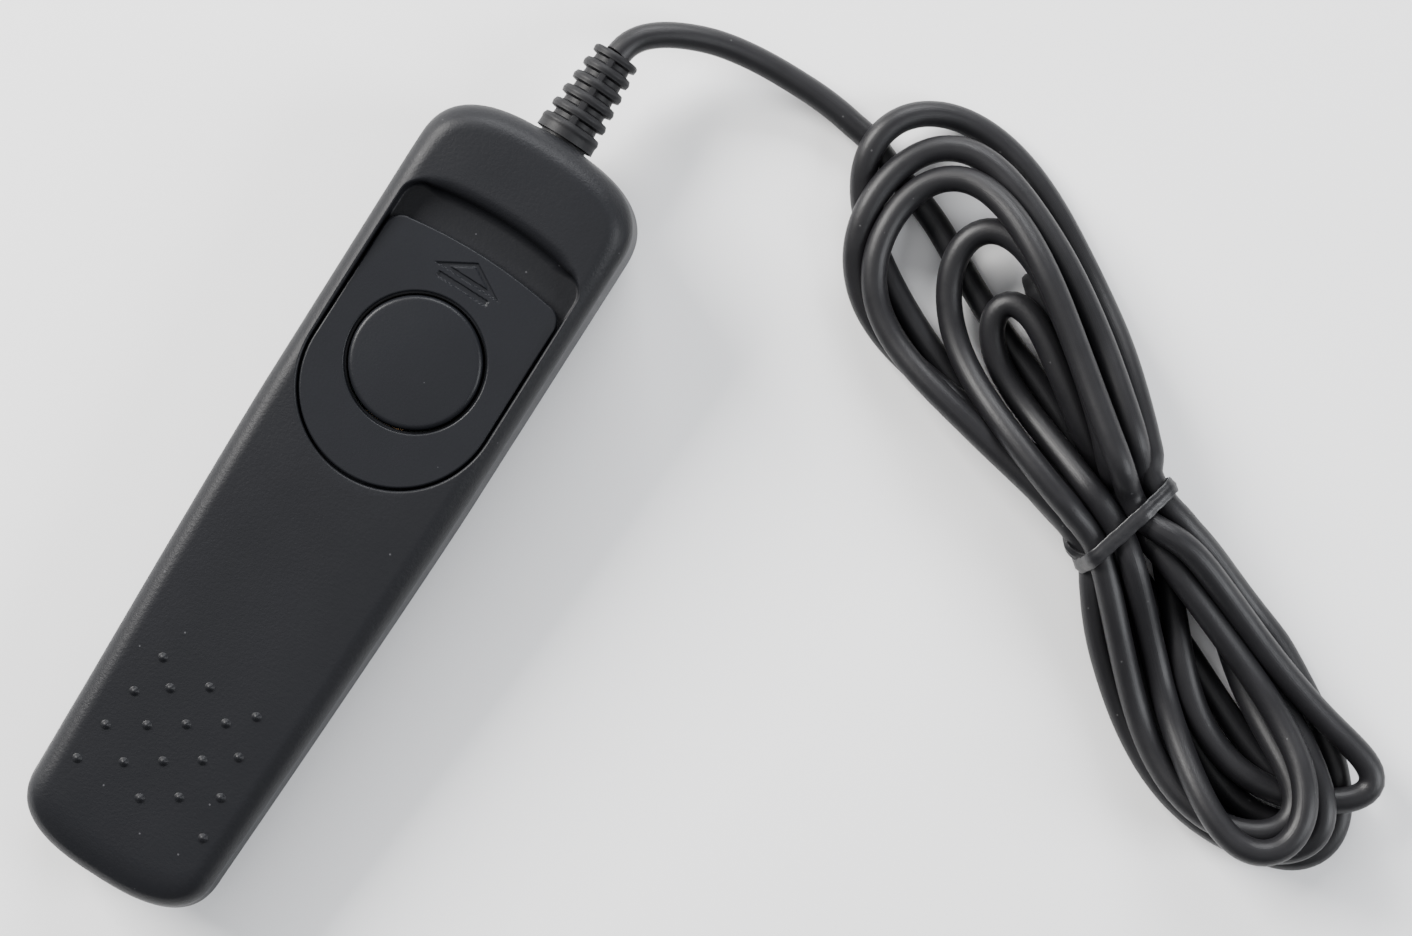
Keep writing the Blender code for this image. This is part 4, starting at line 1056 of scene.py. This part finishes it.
def makeRelief(finish):
    # a sleeve in which ribs stand on a thinner core, with a small web across each groove above and below:
    # radius = core + depth * the larger of the rib's and the web's share
    y = np.linspace(0.3, relief["length"] - 0.12, 330)
    angle = roundAngles(120)
    flange, neck, bore, length = relief["flange"], relief["neck"], relief["bore"], relief["length"]
    outer = np.interp(y, (0.3, 1.6, length - 0.9, length), (relief["base"], 3.36, 2.62, 2.5))
    phase = (y - relief["first"]) / relief["pitch"]
    inGroove = phase - np.floor(phase)
    ridge = 1 - smoothStep(inGroove, 0.02, 0.14) + smoothStep(inGroove, 0.42, 0.54)
    ridge = np.where((phase < 0) | (phase > relief["grooves"] - 0.45), 1, ridge)
    web = 1 - smoothStep(np.abs(np.sin(angle)), 0.12, 0.19)
    core = outer - relief["depth"] * (1 - 0.25 * y / relief["length"])
    swell = 0.12 * np.exp(-((inGroove - 0.78) / 0.16) ** 2) * (ridge > 0.5)
    share = np.maximum(ridge[:, None], 0.86 * web[None])
    radius = core[:, None] + (outer - core)[:, None] * share + swell[:, None]
    turned = np.stack([np.sin(angle), np.zeros(len(angle)), np.cos(angle)], axis=-1)

    def carried(radii, places):
        made = radii[..., None] * turned[None]
        made[..., 1] += places[:, None]
        return made

    inside = np.array([(bore, -4.6), (flange - 0.15, -4.6), (flange, -4.45), (flange, -3.0),
                       (flange - 0.1, -2.9), (neck, -2.9), (neck, 0.3), (relief["base"] - 0.15, 0.3)])
    mouth = np.array([(2.42, length), (bore + 0.1, length), (bore, length - 0.12)])
    grid = np.concatenate([carried(inside[:, :1], inside[:, 1]), carried(radius, y)[1:],
                           carried(mouth[:, :1], mouth[:, 1])])
    grid = (grid + np.array([0, handset["head"], handset["split"]])) * mm
    piece = meshPiece("ribbedRelief", [(grid, True)], finish)
    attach(piece, "root")
    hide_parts("strain_relief")


def dressNodes(finishes):
    # the inner pieces keep their shape and take a finish by their record's slot
    slots = {part["node"]: part["material_slot"] for part in frame["record"]["subparts"]}
    for name, node in frame["nodes"].items():
        if slots[name] in finishes:
            node.data.materials.clear()
            node.data.materials.append(finishes[slots[name]])


placeCamera()
placeLamps()
layFloor()
print("stage ready")
nickel = metalFinish("plugNickel", (0.60, 0.58, 0.54), (0.80, 0.78, 0.74), (0.14, 0.30), (1, 1, 1), 1200)
finishes = dict(
    case_plastic=mouldedPlastic("casePlastic", plastics["case"]),
    button_plastic=mouldedPlastic("buttonPlastic", plastics["button"]),
    relief_rubber=mouldedRubber("reliefRubber", rubbers["relief"]),
    cord_jacket=cordJacketFinish(),
    tie_plastic=tiePlasticFinish(),
    screw_steel=metalFinish("screwSteel", (0.44, 0.44, 0.43), (0.66, 0.66, 0.64), (0.26, 0.46), (1, 1, 0.1),
                            2600),
    spring_steel=metalFinish("springSteel", (0.50, 0.50, 0.50), (0.72, 0.72, 0.71), (0.2, 0.34), (1, 1, 1),
                             2600),
    contact_bronze=metalFinish("contactBronze", (0.56, 0.33, 0.15), (0.78, 0.52, 0.28), (0.24, 0.42),
                               (1, 0.06, 1), 2200),
    board_laminate=laminateFinish(),
    insulation=sleeveFinish("creamNylon", (0.58, 0.53, 0.42), (0.74, 0.70, 0.60), 0.46),
    wire_copper=sleeveFinish("copperSleeve", (0.50, 0.22, 0.08), (0.68, 0.33, 0.14)),
    wire_white=sleeveFinish("whiteSleeve", (0.66, 0.65, 0.61), (0.80, 0.79, 0.75)),
    wire_red=sleeveFinish("redSleeve", (0.46, 0.025, 0.02), (0.66, 0.05, 0.035)),
    plug_nickel=nickel,
    plug_insulator=sleeveFinish("plugInsulator", (0.014, 0.014, 0.014), (0.03, 0.03, 0.03)),
)
dressNodes(finishes)
print("finishes ready")

plugPieces = makePlug(finishes["relief_rubber"], nickel, finishes["plug_insulator"])
cordPiece, cordLine = makeCord(finishes["cord_jacket"])
tiePieces = makeTie(cordLine, finishes["tie_plastic"], finishes["spring_steel"])
print("cord, plug and tie ready")
makeUpperShell(finishes["case_plastic"])
makeLowerShell(finishes["case_plastic"])
makePlate(finishes["button_plastic"])
makeButton(finishes["button_plastic"])
makeSpring(finishes["spring_steel"])
makeRelief(finishes["relief_rubber"])
print("handset ready")
